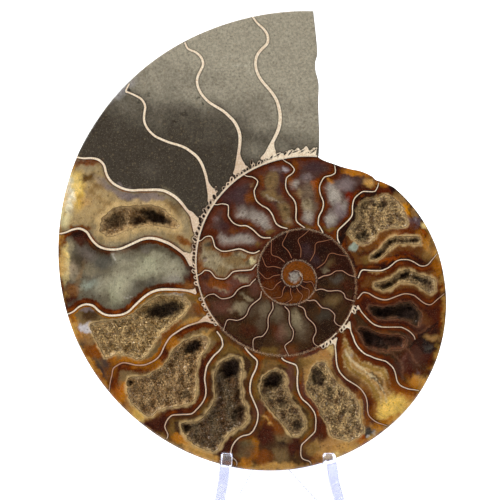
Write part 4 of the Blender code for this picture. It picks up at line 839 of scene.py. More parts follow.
def paintFace(points):
    # The colour of the stone's core and of its rind at each point
    wobble, fine = twoNoises(points, *painting["broad"]), twoNoises(points, *painting["fine"])
    index, rind, looks, wallGap, inwards = chamberFields(points)
    rindPaint, corePaint = chamberPaint(points, index, rind, looks, inwards, wobble, fine)
    both = (corePaint, rindPaint)
    warped = points + painting["bend"] * wobble + painting["bendFine"] * fine
    for growth, share, halfLong, halfWide, colour, strength, softness, *turn in rowsOf(blotches):
        away = np.abs(points - facePoints(growth, share)).max(axis=1)
        near = np.flatnonzero(away < 2.2 * max(halfLong, halfWide) + 1)
        mask = strength * ellipseMask(warped[near], growth, share, halfLong, halfWide, softness, *turn)
        blend([corePaint] if colour in coreOnly else both, near, mask, colour)
    for colour, halfWidth, softness, strength, places in veins:
        line = facePoints(*np.array(rowsOf(places)).T)
        near = nearPoints(points, line, 3.0)
        frayed = painting["frayed"] * wobble[near] + painting["frayedFine"] * fine[near]
        gap = lineDistance(points[near] + frayed, line)
        mask = strength * (1 - smoothStep((gap - halfWidth) / halfWidth, -softness, softness))
        blend(both, near, mask, colour)
    middle = 1 - smoothStep(np.hypot(*(points + 0.25 * fine).T), *painting["spot"])
    blend(both, everywhere, middle * (0.75 + 0.25 * softNoise(points, 0.6, 36)), "greyWhite")
    # Painted shade in the small holes, in the lace and at the feet of the last walls: they are darkened
    # towards nearBlack
    for hole, stroke in laceHoles:
        near = nearPoints(points, hole, 1.0)
        gap = signedDistance(points[near], hole, 2.0)
        dark = painting["holeShade"] * (1 - smoothStep(gap, -0.1, 0.15))
        blend(both, near, dark, "nearBlack")
    for name, loop in hollowLoops.items():
        tones, width = hollows[name][2:4]
        near = nearPoints(points, loop, 3.5)
        gap = signedDistance(points[near], loop) + 0.3 * width * wobble[near, 1]
        pale = painting["fringe"] * (1 - smoothStep(gap / width, 0.3, 1.1))
        blend([corePaint], near, pale, tones[2])
        blend([rindPaint], near, painting["fringeInRind"] * pale, tones[2])
    # Deep colours go a little deeper, and light comes through at the rim
    deepest = painting["deepest"]
    for paint in both:
        paint *= (deepest + (1 - deepest) * smoothStep(paint.mean(axis=1), *painting["deepUnder"]))[:, None]
    growth = placesOf(points)[0]
    rim = wallRadius(growth) - np.hypot(points[:, 0], points[:, 1])
    glow = 1 - smoothStep(rim + 0.5 * wobble[:, 0] + 0.3 * fine[:, 1], *painting["rimReach"])
    uneven = between(growth, "770 .72,800 .55") + 0.8 * softNoise(points, 5.0, 37)
    glow *= np.clip(uneven, 0, 1) * between(growth, "790 1,815 .5,845 .5,870 1")
    glow *= painting["rimStrength"] * smoothStep(growth, 690, 712) * (1 - smoothStep(growth, 925, 930))
    blend([corePaint], everywhere, glow, "rimGlow")
    blend([rindPaint], everywhere, painting["rimInRind"] * glow, "rimGlow")
    rind = rind * (1 + 0.1 * wobble[:, 0] + 0.1 * fine[:, 0])
    return index, rind, rindPaint, corePaint, wallGap


# The stone's shape behind its face and its meshes' measures, in mm
stone = {
    "ribsPerTurn": 24, "ribHeight": 0.22, "thinnest": 2.2, "fullness": 0.215, "cell": 0.5, "quickCell": 0.9,
    "rimStep": 0.8, "chamfer": (0.22, 0.18), "spiralStep": 0.42, "sideRows": 14, "backCell": 1.3,
    "rimRings": (0.996, 0.988, 0.976, 0.962, 0.945, 0.925), "underCrust": 0.9, "leastBehind": 1.3,
    "brokenLength": 70, "smoothUnder": 40, "hollowLip": 0.12, "clearOfEdge": 0.35, "clearOfHollow": 0.3,
    "holeRing": 1.45, "crowding": 0.45,
}


def backDepth(points):
    # How thick the stone is behind each point of the face, and how far along the shell's growth lines it lies
    growth = placesOf(points)[0]
    radius = np.hypot(points[:, 0], points[:, 1])
    lastInner = wallRadius(coil["firstGrowth"] - 0.2)
    ends = 1001.0 + 6.0 * np.clip(1 - radius / lastInner, 0, None)
    growth = np.where((growth + 360 < ends) & (radius < lastInner), growth + 360, growth)
    for lap in range(3):
        growth = np.where((radius < 0.22 * wallRadius(growth)) & (growth > -360), growth - 360, growth)
    outer = wallRadius(growth)
    place = np.clip((radius / outer - 0.22) / 0.78, 0, 1)
    section = between(place, "0 .62,.05 .8,.15 .95,.3 1,.5 .94,.7 .75,.85 .52,.93 .38,.97 .27,.995 .14,1 0")
    bend = 7 * np.sin(place * 5.2) + 9 * place ** 2
    ribs = np.cos(np.radians((growth + bend) * stone["ribsPerTurn"]))
    relief = stone["ribHeight"] * smoothStep(place, 0.1, 0.4) * (0.5 + 0.5 * ribs)
    return np.maximum(stone["thinnest"], stone["fullness"] * outer * section - relief), growth + bend


# Meshes

def hexGrid(loop, step):
    # Points in a honeycomb over the whole of a loop
    low, high = loop.min(axis=0), loop.max(axis=0)
    rows = np.arange(low[1], high[1], step * 0.866)
    columns = np.arange(low[0], high[0], step)
    grid = [np.stack([columns + (0.5 * step if i % 2 else 0), np.full(len(columns), y)], axis=-1)
            for i, y in enumerate(rows)]
    return np.vstack(grid)


def inset(loop, distance):
    # The loop moved inwards, with corners softened
    ahead, behind = np.roll(loop, -1, axis=0), np.roll(loop, 1, axis=0)
    along = ahead - behind
    along /= np.maximum(np.hypot(*along.T), 1e-9)[:, None]
    area = np.sum(loop[:, 0] * ahead[:, 1] - ahead[:, 0] * loop[:, 1])
    inwards = np.stack([-along[:, 1], along[:, 0]], axis=-1) * (1 if area > 0 else -1)
    return loop + inwards * distance


def thinned(points, keepOff, gap):
    # Leaves out the points that lie closer than gap to any of the others
    tree = kdtree.KDTree(len(keepOff))
    for i, (x, y) in enumerate(keepOff):
        tree.insert((x, y, 0), i)
    tree.balance()
    return np.array([p for p in points if tree.find((p[0], p[1], 0))[2] > gap])


def triangulate(loop, lines, loose):
    # Triangles inside a loop that keep the lines as edges and use the loose points
    points, edges = [loop], [(i, (i + 1) % len(loop)) for i in range(len(loop))]
    count = len(loop)
    for line, closed in lines:
        edges += [(count + i, count + i + 1) for i in range(len(line) - 1)]
        if closed:
            edges.append((count + len(line) - 1, count))
        points.append(line)
        count += len(line)
    points.append(loose)
    vectors = [Vector(p) for p in np.vstack(points)]
    made = geometry.delaunay_2d_cdt(vectors, edges, [], 1, 1e-5, False)
    flat, triangles = np.array([tuple(v) for v in made[0]]), np.array(made[2])
    return flat, triangles[insideOf(flat[triangles].mean(axis=1), loop)]


def upwards(points, triangles):
    # Turns every triangle the same way round
    a, b, c = (points[triangles[:, k]] for k in range(3))
    area = (b - a)[:, 0] * (c - a)[:, 1] - (b - a)[:, 1] * (c - a)[:, 0]
    flipped = triangles.copy()
    flipped[area < 0] = triangles[area < 0][:, ::-1]
    return flipped


def meshFrom(name, points, triangles, materials, faceMaterials=None):
    mesh = bpy.data.meshes.new(name)
    mesh.from_pydata(points, [], triangles)
    mesh.validate()
    for material in materials:
        mesh.materials.append(material)
    if faceMaterials is not None:
        mesh.polygons.foreach_set("material_index", faceMaterials)
    made = bpy.data.objects.new(name, mesh)
    bpy.context.scene.collection.objects.link(made)
    return made


def writeFloat(mesh, name, values):
    mesh.attributes.new(name, "FLOAT", "POINT").data.foreach_set("value", np.asarray(values, np.float32))


def writeColour(mesh, name, values):
    rgba = np.ones((len(values), 4), np.float32)
    rgba[:, :3] = values
    mesh.color_attributes.new(name, "FLOAT_COLOR", "POINT").data.foreach_set("color", rgba.ravel())


# The stone: its polished face, with the hollows let into it, and the shell outside

def keptRuns(line, clear):
    # The stretches of a line that lie well inside the face and outside the hollows
    runs, run = [], []
    for point, fine in zip(line, clear):
        if fine:
            run.append(point)
        elif run:
            runs.append(run)
            run = []
    runs.append(run)
    return [np.array(run) for run in runs if len(run) > 3]


def spiralLine():
    growths, growth = [], -700.0
    while growth < 640.5:
        growths.append(growth)
        growth += math.degrees(stone["spiralStep"] / max(1.0, float(wallRadius(growth))))
    return facePoints(np.array(growths), np.ones(len(growths)))


def makeFace(top):
    # The polished face in triangles that keep its walls, its hollows and its small holes as edges
    loops, lines = [], []
    for loop in hollowLoops.values():
        loops += [(loop, True), (inset(loop, stone["hollowLip"]), True)]
    for line in [*septumLines.values(), spiralLine()]:
        clear = signedDistance(line, top) < -stone["clearOfEdge"]
        for loop in hollowLoops.values():
            clear &= signedDistance(line, loop) > stone["clearOfHollow"]
        lines += [(run, False) for run in keptRuns(line, clear)]
    holes = [hole for hole, stroke in laceHoles]
    rings = holes + [hole.mean(axis=0) + stone["holeRing"] * (hole - hole.mean(axis=0)) for hole in holes]
    extra = np.vstack(rings + [ring.mean(axis=0)[None] for ring in rings] + laceBands + footShapes)
    fixed = np.vstack([top] + [line for line, closed in lines + loops])
    extra = thinned(extra, fixed, 0.1)
    extra = extra[signedDistance(extra, top) < -0.3]
    grid = stone["cell"]
    cells = hexGrid(top, grid)
    cells = cells[signedDistance(cells, top, 3.0) < -0.25]
    cells = thinned(cells, np.vstack([fixed, extra]), stone["crowding"] * grid)
    face, triangles = triangulate(top, lines + loops, np.vstack([extra, cells]))
    return face, upwards(face, triangles)


def makeBack(rim):
    # The hidden side in triangles, closer together near the rim
    back = hexGrid(rim, stone["backCell"])
    back = back[signedDistance(back, rim, 3.0) < -0.5]
    rings = [rim * share for share in stone["rimRings"]]
    rings = np.vstack([ring[signedDistance(ring, rim) < -0.15] for ring in rings])
    points, triangles = triangulate(rim, [], np.vstack([rings, thinned(back, rings, 0.5)]))
    return points, upwards(points, triangles)


def makeStone(faceMaterial, shellMaterial):
    rim = faceOutline(stone["rimStep"])
    wide, chamfer = stone["chamfer"]
    top = inset(rim, wide)
    face, triangles = makeFace(top)
    print("face triangulated", len(triangles))
    floor, inside = hollowFields(face)
    room = backDepth(face)[0] - stone["leastBehind"]
    depth = np.where(inside > 0.06, np.minimum(floor + stone["underCrust"], room), 0)

    # From the face's edge over a small chamfer and down the side to the back
    count, rows = len(top), stone["sideRows"]
    back, backTriangles = makeBack(rim)
    backEdge = nearest(rim, back)
    rimThick, backThick = backDepth(rim)[0], backDepth(back)[0]
    backThick[backEdge] = rimThick
    sideDepths = [chamfer + (rimThick - chamfer) * k / rows for k in range(rows)]
    flat = np.vstack([face] + [rim] * rows + [back])
    deep = np.concatenate([depth] + sideDepths + [backThick])
    backStart = len(face) + rows * count
    shell = []
    previous = nearest(top, face)
    for k in range(rows + 1):
        current = backEdge + backStart if k == rows else len(face) + k * count + np.arange(count)
        nextPrevious, nextCurrent = np.roll(previous, -1), np.roll(current, -1)
        shell += [np.stack([previous, current, nextCurrent], axis=-1),
                  np.stack([previous, nextCurrent, nextPrevious], axis=-1)]
        previous = current
    shell = np.vstack(shell)
    if not insideOrder(top):
        shell = shell[:, ::-1]
    allTriangles = np.vstack([triangles, shell, backTriangles[:, ::-1] + backStart])
    polished = len(triangles) + 2 * count
    slots = (np.arange(len(allTriangles)) >= polished).astype(int)
    piece = meshFrom("ammoniteStone", toWorld(flat, deep), allTriangles, [faceMaterial, shellMaterial], slots)
    paintStone(piece.data, flat, deep, rim)
    smoothShade(piece, stone["smoothUnder"])
    print("stone made", len(allTriangles))
    return piece


def paintStone(mesh, flat, deep, rim):
    # What the stone's materials read at each point
    index, rind, rindPaint, corePaint, wallGap = paintFace(flat)
    writeColour(mesh, "paint", corePaint)
    writeColour(mesh, "rindPaint", rindPaint)
    growth, share = placesOf(flat)
    radius = np.hypot(flat[:, 0], flat[:, 1])
    foot, rimGap = wallDistances(flat)
    nearRim = (rimGap < foot) & (growth < 641.2)
    wallGrowth = np.where(nearRim, growth, growth - 360)
    half = between(wallGrowth, "-500 .11,-300 .07,0 .07,360 .17,530 .2,560 .24,641 .28")
    spiral = np.where(radius < 1.9, 9, np.where(nearRim, rimGap, foot) - half)
    spiralTone = between(wallGrowth, "-720 .6,-300 .3,200 .22,380 .08,520 .16,560 .9")
    bend = wallAt("K", share) - wallAt("K", 0)
    endSteps = int(stone["brokenLength"] / stone["rimStep"])
    atEnd = smoothStep(lineDistance(flat, rim[-endSteps:], 8.0), 1.2, 0.4)
    values = {
        "rind": rind, "wallGap": np.minimum(wallGap, 12),
        "rindSoft": between(growth, "500 .25,560 .7,640 .6,700 .15"),
        "creamTone": creamTone(flat, growth, share), "cream": creamDistance(flat, share),
        "spiral": spiral, "spiralTone": spiralTone, "grain": index >= matrixFrom,
        "alongWhorl": np.radians(growth - bend) * radius, "acrossWhorl": foot,
        "shellAngle": backDepth(flat)[1], "broken": atEnd * (deep > 0.3),
    }
    for name, numbers in values.items():
        writeFloat(mesh, name, numbers)


def nearest(places, points):
    # The number of the point that lies nearest to each place
    return np.array([int(np.argmin(np.hypot(*(points - place).T))) for place in places])


def insideOrder(loop):
    # Whether a loop runs counterclockwise
    ahead = np.roll(loop, -1, axis=0)
    return np.sum(loop[:, 0] * ahead[:, 1] - ahead[:, 0] * loop[:, 1]) > 0


def activeOnly(piece):
    bpy.ops.object.select_all(action="DESELECT")
    piece.select_set(True)
    bpy.context.view_layer.objects.active = piece


def smoothShade(piece, angle):
    activeOnly(piece)
    bpy.ops.object.shade_smooth_by_angle(angle=math.radians(angle))


# The crusts of crystals in the hollows

crystals = {
    "spacing": 0.44, "long": (0.35, 0.95), "thick": (0.13, 0.27), "tilt": 38.0, "corners": 6, "margin": 0.15,
    "sheetCell": 0.45, "sheetThick": 0.45, "jitter": 0.3, "slopeStep": 0.3, "wide": (0.8, 1.0),
    "shoulder": (0.12, 0.3), "rootShare": 0.35, "pitDark": 0.92,
}


def crustSheet(loop):
    # The floor that the crystals stand on, as a thin closed sheet: its places, their depths and its triangles
    step = crystals["sheetCell"] * 1
    cells = hexGrid(loop, step)
    cells = thinned(cells[insideOf(cells, loop)], loop, 0.4 * step)
    sheet, triangles = triangulate(loop, [], cells)
    triangles = upwards(sheet, triangles)
    tops = crustDepth(sheet)
    count = len(sheet)
    edge = nearest(loop, sheet)
    ahead = np.roll(edge, -1)
    walls = np.vstack([np.stack([edge, edge + count, ahead + count], axis=-1),
                       np.stack([edge, ahead + count, ahead], axis=-1)])
    if not insideOrder(loop):
        walls = walls[:, ::-1]
    return (np.vstack([sheet, sheet]), np.concatenate([tops, tops + crystals["sheetThick"]]),
            np.vstack([triangles, triangles[:, ::-1] + count, walls]))


def crystalBlocks(loop, rng):
    # The crystals, each a ring of corners with a tip and a root: places and depths, triangles, how many
    spacing = crystals["spacing"] * 1
    seats = hexGrid(loop, spacing)
    seats = seats + rng.uniform(-crystals["jitter"], crystals["jitter"], seats.shape) * spacing
    seats = seats[signedDistance(seats, loop) < -0.12]
    depth = crustDepth(seats)
    step = crystals["slopeStep"]
    across = (crustDepth(seats + (step, 0)) - depth) / step
    along = (crustDepth(seats + (0, step)) - depth) / step
    normals = np.stack([across, along, np.full(len(seats), 1.0)], axis=-1)
    normals = normals + rng.normal(0, math.tan(math.radians(crystals["tilt"])) * 0.6, normals.shape)
    normals[:, 2] = np.abs(normals[:, 2]) + 0.15
    normals /= np.linalg.norm(normals, axis=1)[:, None]
    room = -signedDistance(seats, loop, 3.0)
    room = np.where(room > 90, 3.0, room)
    size = rng.uniform(0, 1, len(seats)) ** 1.6 * np.clip(0.45 + room / 2.2, 0, 1)
    long, thick = (least + size * (most - least) for least, most in (crystals["long"], crystals["thick"]))
    reach = np.minimum(1.0, (depth - 0.03) / np.maximum(0.05, long * normals[:, 2]))
    long = long * np.clip(reach, 0.15, 1)
    side = np.cross(normals, rng.normal(0, 1, normals.shape))
    side /= np.linalg.norm(side, axis=1)[:, None]
    other = np.cross(normals, side)
    corners = crystals["corners"]
    centre = np.column_stack([seats, -depth])
    ring = []
    for k in range(corners):
        angle = 2 * math.pi * k / corners
        wide, height = thick * crystals["wide"][k % 2], long * crystals["shoulder"][k % 2]
        ring.append(centre + side * (math.cos(angle) * wide)[:, None]
                    + other * (math.sin(angle) * wide)[:, None] + normals * height[:, None])
    tip = centre + normals * long[:, None]
    root = centre - normals * (crystals["rootShare"] * long)[:, None]
    blocks = np.stack([tip] + ring + [root], axis=1).reshape(-1, 3)
    spikes = np.array([(0, 1 + k, 1 + (k + 1) % corners) for k in range(corners)]
                      + [(corners + 1, 1 + (k + 1) % corners, 1 + k) for k in range(corners)])
    starts = np.arange(len(seats)) * (corners + 2)
    return blocks[:, :2], -blocks[:, 2], (starts[:, None, None] + spikes[None]).reshape(-1, 3), len(seats)


def crustPaint(name, places, loop, seed):
    # The crystals' colours, pale at the rim and darkened with painted shade in the pits, and how far each is
    # in a pit
    (light, deep, fringe), width = hollows[name][2:4]
    gap = np.clip(-signedDistance(places, loop, 3.0), 0, 3)
    wobble = 0.42 + 0.4 * softNoise(places, 4.0, seed + 40) + 0.35 * softNoise(places, 0.8, seed + 60)
    share = np.clip(wobble, 0, 1)[:, None]
    colour = linear(light) * (1 - share) + linear(deep) * share
    # Painted shade in the pits: the crystals' colour goes over to pitDark as far as the pit reaches
    dark = darkness(places) * smoothStep(gap, 0.1, 0.9)
    covered = crystals["pitDark"] * dark[:, None]
    colour = colour * (1 - covered) + linear("pitDark") * covered
    broken = np.clip(0.55 * width + 0.1 + 0.45 * softNoise(places, 2.5, seed + 80), 0.1, 1)
    uneven = gap + 0.2 * softNoise(places, 1.0, seed)
    blend([colour], everywhere, broken * (1 - smoothStep(uneven, 0.2, 0.5 + 0.5 * width)), fringe)
    return colour, dark


def makeCrust(name, material, seed):
    rng = np.random.default_rng(seed)
    loop = inset(hollowLoops[name], crystals["margin"])
    sheet, sheetDepths, sheetTriangles = crustSheet(loop)
    blocks, blockDepths, blockTriangles, count = crystalBlocks(loop, rng)
    ownTints = np.repeat(rng.uniform(0, 1, count), crystals["corners"] + 2)
    tints = np.concatenate([np.full(len(sheet), 0.5), ownTints])
    places = np.vstack([sheet, blocks])
    solid = toWorld(places, np.concatenate([sheetDepths, blockDepths]))
    triangles = np.vstack([sheetTriangles, blockTriangles + len(sheet)])
    crust = meshFrom(name.replace("crystal_crust_", "crystalCrust"), solid, triangles, [material])
    colour, dark = crustPaint(name, places, loop, seed)
    writeColour(crust.data, "crystalPaint", colour)
    writeFloat(crust.data, "tint", 0.5 + (tints - 0.5) * calmCrusts.get(name, 1.0))
    writeFloat(crust.data, "pit", dark)
    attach(crust, "root")
    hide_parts(name)


def crustDepth(points):
    floor, inside = hollowFields(points)
    thick = backDepth(points)[0]
    rough = 0.12 * softNoise(points, 0.9, 51) + 0.2 * softNoise(points, 2.6, 52)
    shaped = floor * 0.82 + rough * np.clip(inside / 1.2, 0, 1)
    return np.clip(np.minimum(shaped, thick - 2.6), 0.07, None)


# Materials

def feed(tree, node, inputs):
    # Sets each input to a value or links it to a socket
    for key, value in inputs.items():
        if isinstance(value, bpy.types.NodeSocket):
            tree.links.new(value, node.inputs[key])
        else:
            node.inputs[key].default_value = value


def addNode(tree, kind, inputs=None, **settings):
    made = tree.nodes.new("ShaderNode" + kind)
    for name, value in settings.items():
        setattr(made, name, value)
    feed(tree, made, inputs or {})
    return made


def rgba(name):
    return (*linear(name), 1)


def mixColour(tree, factor, first, second):
    return addNode(tree, "Mix", {0: factor, 6: first, 7: second}, data_type="RGBA").outputs[2]


def washed(tree, base, *washes):
    # Lays named colours over the base one after the other, each with its factor
    for factor, name in washes:
        base = mixColour(tree, factor, base, rgba(name))
    return base


def ranged(tree, value, low, high, lowOut=0.0, highOut=1.0):
    return addNode(tree, "MapRange", {0: value, 1: low, 2: high, 3: lowOut, 4: highOut}).outputs[0]


def readFloat(tree, name):
    # One number that the mesh carries at each point
    return addNode(tree, "Attribute", attribute_name=name).outputs["Fac"]


def readColour(tree, name):
    return addNode(tree, "Attribute", attribute_name=name).outputs["Color"]


def arith(tree, operation, first, second):
    return addNode(tree, "Math", {0: first, 1: second}, operation=operation).outputs[0]


def times(tree, first, second):
    return arith(tree, "MULTIPLY", first, second)


def plus(tree, first, second):
    return arith(tree, "ADD", first, second)


def minus(tree, first, second):
    return arith(tree, "SUBTRACT", first, second)


def shaded(tree, colour, value, saturation=1.0):
    given = {"Saturation": saturation, "Value": value, "Color": colour}
    return addNode(tree, "HueSaturation", given).outputs[0]


def noise(tree, place, scale, detail, roughness, distortion=0.0):
    given = {"Vector": place, "Scale": scale, "Detail": detail, "Roughness": roughness,
             "Distortion": distortion}
    return addNode(tree, "TexNoise", given).outputs[0]


def stripes(tree, place, scale, detail):
    return addNode(tree, "TexNoise", {"W": place, "Scale": scale, "Detail": detail},
                   noise_dimensions="1D").outputs[0]


def millimetres(tree):
    place = addNode(tree, "TexCoord").outputs["Object"]
    return addNode(tree, "Mapping", {"Vector": place, "Scale": (1000, 1000, 1000)}).outputs["Vector"]


def newGroup(name, inputs, outputs):
    group = bpy.data.node_groups.new(name, "ShaderNodeTree")
    for label, value in inputs:
        group.interface.new_socket(label, in_out="INPUT", socket_type="NodeSocketFloat").default_value = value
    for label in outputs:
        group.interface.new_socket(label, in_out="OUTPUT", socket_type="NodeSocketFloat")
    return group, group.nodes.new("NodeGroupInput").outputs, group.nodes.new("NodeGroupOutput").inputs


def makeGrainGroup():
    # Specks of light and dark grains, as in the mud that filled the last chambers
    inputs = [("Grains per mm", 2.0), ("Light Share", 0.3), ("Dark Share", 0.3)]
    group, given, wanted = newGroup("mineralGrain", inputs, ["Tone", "Light", "Dark"])
    place = millimetres(group)
    group.links.new(noise(group, place, given[0], 4.0, 0.7), wanted[0])
    cells = addNode(group, "TexVoronoi", {"Vector": place, "Scale": given[0], "Randomness": 1.0})
    pick = addNode(group, "SeparateColor", {0: cells.outputs["Color"]})
    near = ranged(group, cells.outputs["Distance"], 0.55, 0.25)
    for k in (1, 2):
        above = minus(group, pick.outputs[k - 1], minus(group, 1.0, given[k]))
        group.links.new(times(group, ranged(group, above, 0.0, 0.06), near), wanted[k])
    return group


def makeFeatherGroup():
    # Drifting tufts, as calcite grew in fans from the walls
    inputs = [("Tufts per mm", 0.6), ("Sharpness", 0.5)]
    group, given, wanted = newGroup("calciteFeather", inputs, ["Tufts", "Fine"])
    place = millimetres(group)
    group.links.new(noise(group, place, given[0], 5.0, given[1], 1.2), wanted[0])
    group.links.new(noise(group, place, times(group, given[0], 4.0), 3.0, 0.7, 0.5), wanted[1])
    return group


def useGroup(tree, group, *values):
    made = tree.nodes.new("ShaderNodeGroup")
    made.node_tree = group
    for socket, value in zip(made.inputs, values):
        socket.default_value = value
    return made.outputs


def newMaterial(name):
    material = bpy.data.materials.new(name)
    material.use_nodes = True
    tree = material.node_tree
    return material, tree, tree.nodes["Principled BSDF"]


def makeFaceMaterial(grain, feather):
    material, tree, shader = newMaterial("polishedFace")
    drift = useGroup(tree, feather, 0.55, 0.6)
    mud = useGroup(tree, grain, 1.3, 0.12, 0.12)
    mudFine = useGroup(tree, grain, 4.0, 0.2, 0.16)

    # Needles of calcite that lie along the whorl and fray the rind's inner edge
    along = times(tree, readFloat(tree, "alongWhorl"), 1.1)
    across = times(tree, readFloat(tree, "acrossWhorl"), 2.4)
    flow = addNode(tree, "CombineXYZ", {0: along, 1: across}).outputs[0]
    needles = noise(tree, flow, 1.0, 4.0, 0.6, 0.4)
    rough = times(tree, minus(tree, drift[1], 0.5), 0.3)
    fringe = times(tree, minus(tree, needles, 0.5), 0.9)
    rind = plus(tree, readFloat(tree, "rind"), plus(tree, rough, fringe))
    soft = readFloat(tree, "rindSoft")
    core = ranged(tree, rind, minus(tree, 1.0, soft), plus(tree, 1.05, soft))
    calcite = mixColour(tree, core, readColour(tree, "rindPaint"), readColour(tree, "paint"))

    # The chambers' calcite, with layers in the rind and needles in the core
    gap = readFloat(tree, "wallGap")
    depth = plus(tree, times(tree, gap, 1.5), times(tree, drift[0], 0.8))
    layered = ranged(tree, stripes(tree, depth, 1.3, 2.0), 0.3, 0.7, 0.75, 1.25)
    streaked = ranged(tree, needles, 0.3, 0.7, ranged(tree, soft, 0.15, 0.6, 0.76, 0.5),
                      ranged(tree, soft, 0.15, 0.6, 1.26, 1.7))
    value = ranged(tree, drift[0], 0.3, 0.7, 0.75, 1.22)
    for factor in (streaked, ranged(tree, mudFine[0], 0.3, 0.7, 0.84, 1.16),
                   ranged(tree, core, 0.0, 1.0, layered, 1.0), ranged(tree, gap, 0.4, 5.0, 0.78, 1.14)):
        value = times(tree, value, factor)
    toned = shaded(tree, calcite, value, ranged(tree, drift[1], 0.3, 0.7, 1.12, 0.95))
    toned = washed(tree, toned, (times(tree, mudFine[2], 0.4), "umber"),
                   (times(tree, mud[2], ranged(tree, core, 0.0, 1.0, 0.1, 0.45)), "maroonDark"),
                   (times(tree, mudFine[1], ranged(tree, core, 0.0, 1.0, 0.05, 0.18)), "greyTan"))

    # The last chambers' matrix
    base = shaded(tree, readColour(tree, "paint"), ranged(tree, mud[0], 0.38, 0.62, 0.97, 1.55))
    base = washed(tree, base, (times(tree, mudFine[2], 0.45), "umber"),
                  (times(tree, mud[2], 0.35), "matrixDark"), (times(tree, mud[1], 0.16), "tan"),
                  (times(tree, mudFine[1], 0.4), "greyTan"))
    stoneColour = mixColour(tree, readFloat(tree, "grain"), toned, base)

    # The walls: a dark edge, the spiral and the cream
    cream = readFloat(tree, "cream")
    edged = washed(tree, stoneColour, (times(tree, ranged(tree, cream, 0.5, 0.12), 0.55), "nearBlack"))
    spiralTone = readFloat(tree, "spiralTone")
    ragged = times(tree, minus(tree, mudFine[0], 0.5), ranged(tree, spiralTone, 0.1, 0.6, 4.0, 0.4))
    spiral = ranged(tree, plus(tree, readFloat(tree, "spiral"), ragged), 0.09, -0.09)
    granular = mixColour(tree, ranged(tree, mud[0], 0.4, 0.6), rgba("umber"), rgba("rustTan"))
    spiralColour = mixColour(tree, spiralTone, granular, rgba("cream"))
    walled = mixColour(tree, times(tree, spiral, 0.85), edged, spiralColour)
    nacre = mixColour(tree, ranged(tree, drift[1], 0.4, 0.62), rgba("creamDull"), rgba("cream"))
    nacre = mixColour(tree, readFloat(tree, "creamTone"), rgba("wallDim"), nacre)
    final = mixColour(tree, ranged(tree, cream, 0.06, -0.05), walled, nacre)
    bump = addNode(tree, "Bump", {"Height": mudFine[0], "Strength": 0.05, "Distance": 0.0001}).outputs[0]
    feed(tree, shader, {"Base Color": final, "Roughness": ranged(tree, mudFine[0], 0.3, 0.7, 0.16, 0.26),
                        "Coat Weight": 0.35, "Coat Roughness": 0.06, "Normal": bump})
    return material


def makeShellMaterial(grain, feather):
    material, tree, shader = newMaterial("naturalShell")
    drift = useGroup(tree, feather, 0.12, 0.6)
    mud = useGroup(tree, grain, 1.8, 0.2, 0.2)
    shellAngle = readFloat(tree, "shellAngle")
    lines = stripes(tree, shellAngle, 1.6, 3.0)
    patches = noise(tree, millimetres(tree), 0.055, 5.0, 0.65, 0.5)
    colour = mixColour(tree, ranged(tree, drift[0], 0.35, 0.65), rgba("rustTan"), rgba("greyTan"))
    colour = washed(tree, colour, (ranged(tree, drift[1], 0.45, 0.7, 0.0, 0.6), "rustDark"),
                    (ranged(tree, lines, 0.35, 0.7, 0.0, 0.5), "umber"),
                    (ranged(tree, patches, 0.53, 0.62, 0.0, 0.75), "matrixMid"),
                    (ranged(tree, patches, 0.46, 0.38, 0.0, 0.7), "creamDull"))
    # The grooves between the ribs are painted darker than their crests: painted shade in the grooves
    ribs = arith(tree, "COSINE", times(tree, shellAngle, math.radians(stone["ribsPerTurn"])), 0.0)
    colour = shaded(tree, colour, ranged(tree, ribs, -1.0, 1.0, 0.86, 0.5))
    rough = mixColour(tree, mud[0], rgba("matrixDark"), rgba("matrixLight"))
    rough = washed(tree, rough, (times(tree, mud[1], 0.6), "greyTan"),
                   (times(tree, mud[2], 0.6), "nearBlack"))
    broken = readFloat(tree, "broken")
    height = plus(tree, times(tree, lines, 0.6), times(tree, drift[1], 0.5))
    height = minus(tree, height, times(tree, ribs, 0.5))
    bump = addNode(tree, "Bump", {"Height": height, "Strength": 0.45, "Distance": 0.0006}).outputs[0]
    feed(tree, shader, {"Base Color": mixColour(tree, broken, colour, rough),
                        "Roughness": ranged(tree, broken, 0.0, 1.0, 0.38, 0.85),
                        "Coat Weight": ranged(tree, broken, 0.0, 1.0, 0.4, 0.0),
                        "Coat Roughness": 0.2, "Normal": bump})
    return material


def makeCrystalMaterial(feather):
    material, tree, shader = newMaterial("calciteCrystals")
    drift = useGroup(tree, feather, 1.4, 0.7)
    tint, pit = readFloat(tree, "tint"), readFloat(tree, "pit")
    toned = shaded(tree, readColour(tree, "crystalPaint"), ranged(tree, tint, 0.0, 1.0, 0.35, 1.9))
    dusty = washed(tree, toned, (ranged(tree, drift[0], 0.35, 0.7, 0.0, 0.3), "tanBrown"))
    # Where the pits' painted shade lies, the dust wash is left out and the crystals are made rougher and lose
    # their coat, so no glints show in the shade
    feed(tree, shader, {"Base Color": mixColour(tree, pit, dusty, toned),
                        "Roughness": ranged(tree, pit, 0.0, 0.6, 0.36, 0.75),
                        "Coat Weight": ranged(tree, pit, 0.0, 0.5, 0.08, 0.0),
                        "Coat Roughness": 0.08, "Specular IOR Level": 0.3})
    return material


def makeClearMaterial():
    material, tree, shader = newMaterial("clearAcrylic")
    # Light that is still caught inside after the last bounce is the white studio's, and would be lost
    path = addNode(tree, "LightPath").outputs
    caught = arith(tree, "MAXIMUM", arith(tree, "GREATER_THAN", path["Glossy Depth"], 3.5),
                   arith(tree, "GREATER_THAN", path["Ray Depth"], 11.5))
    feed(tree, shader, {"Base Color": (0.84, 0.86, 0.98, 1), "Roughness": 0.02, "Transmission Weight": 1.0,
                        "IOR": 1.49, "Emission Strength": 1.0,
                        "Emission Color": mixColour(tree, caught, (0, 0, 0, 1), (0.33, 0.35, 0.48, 1))})
    return material


# The clear easel

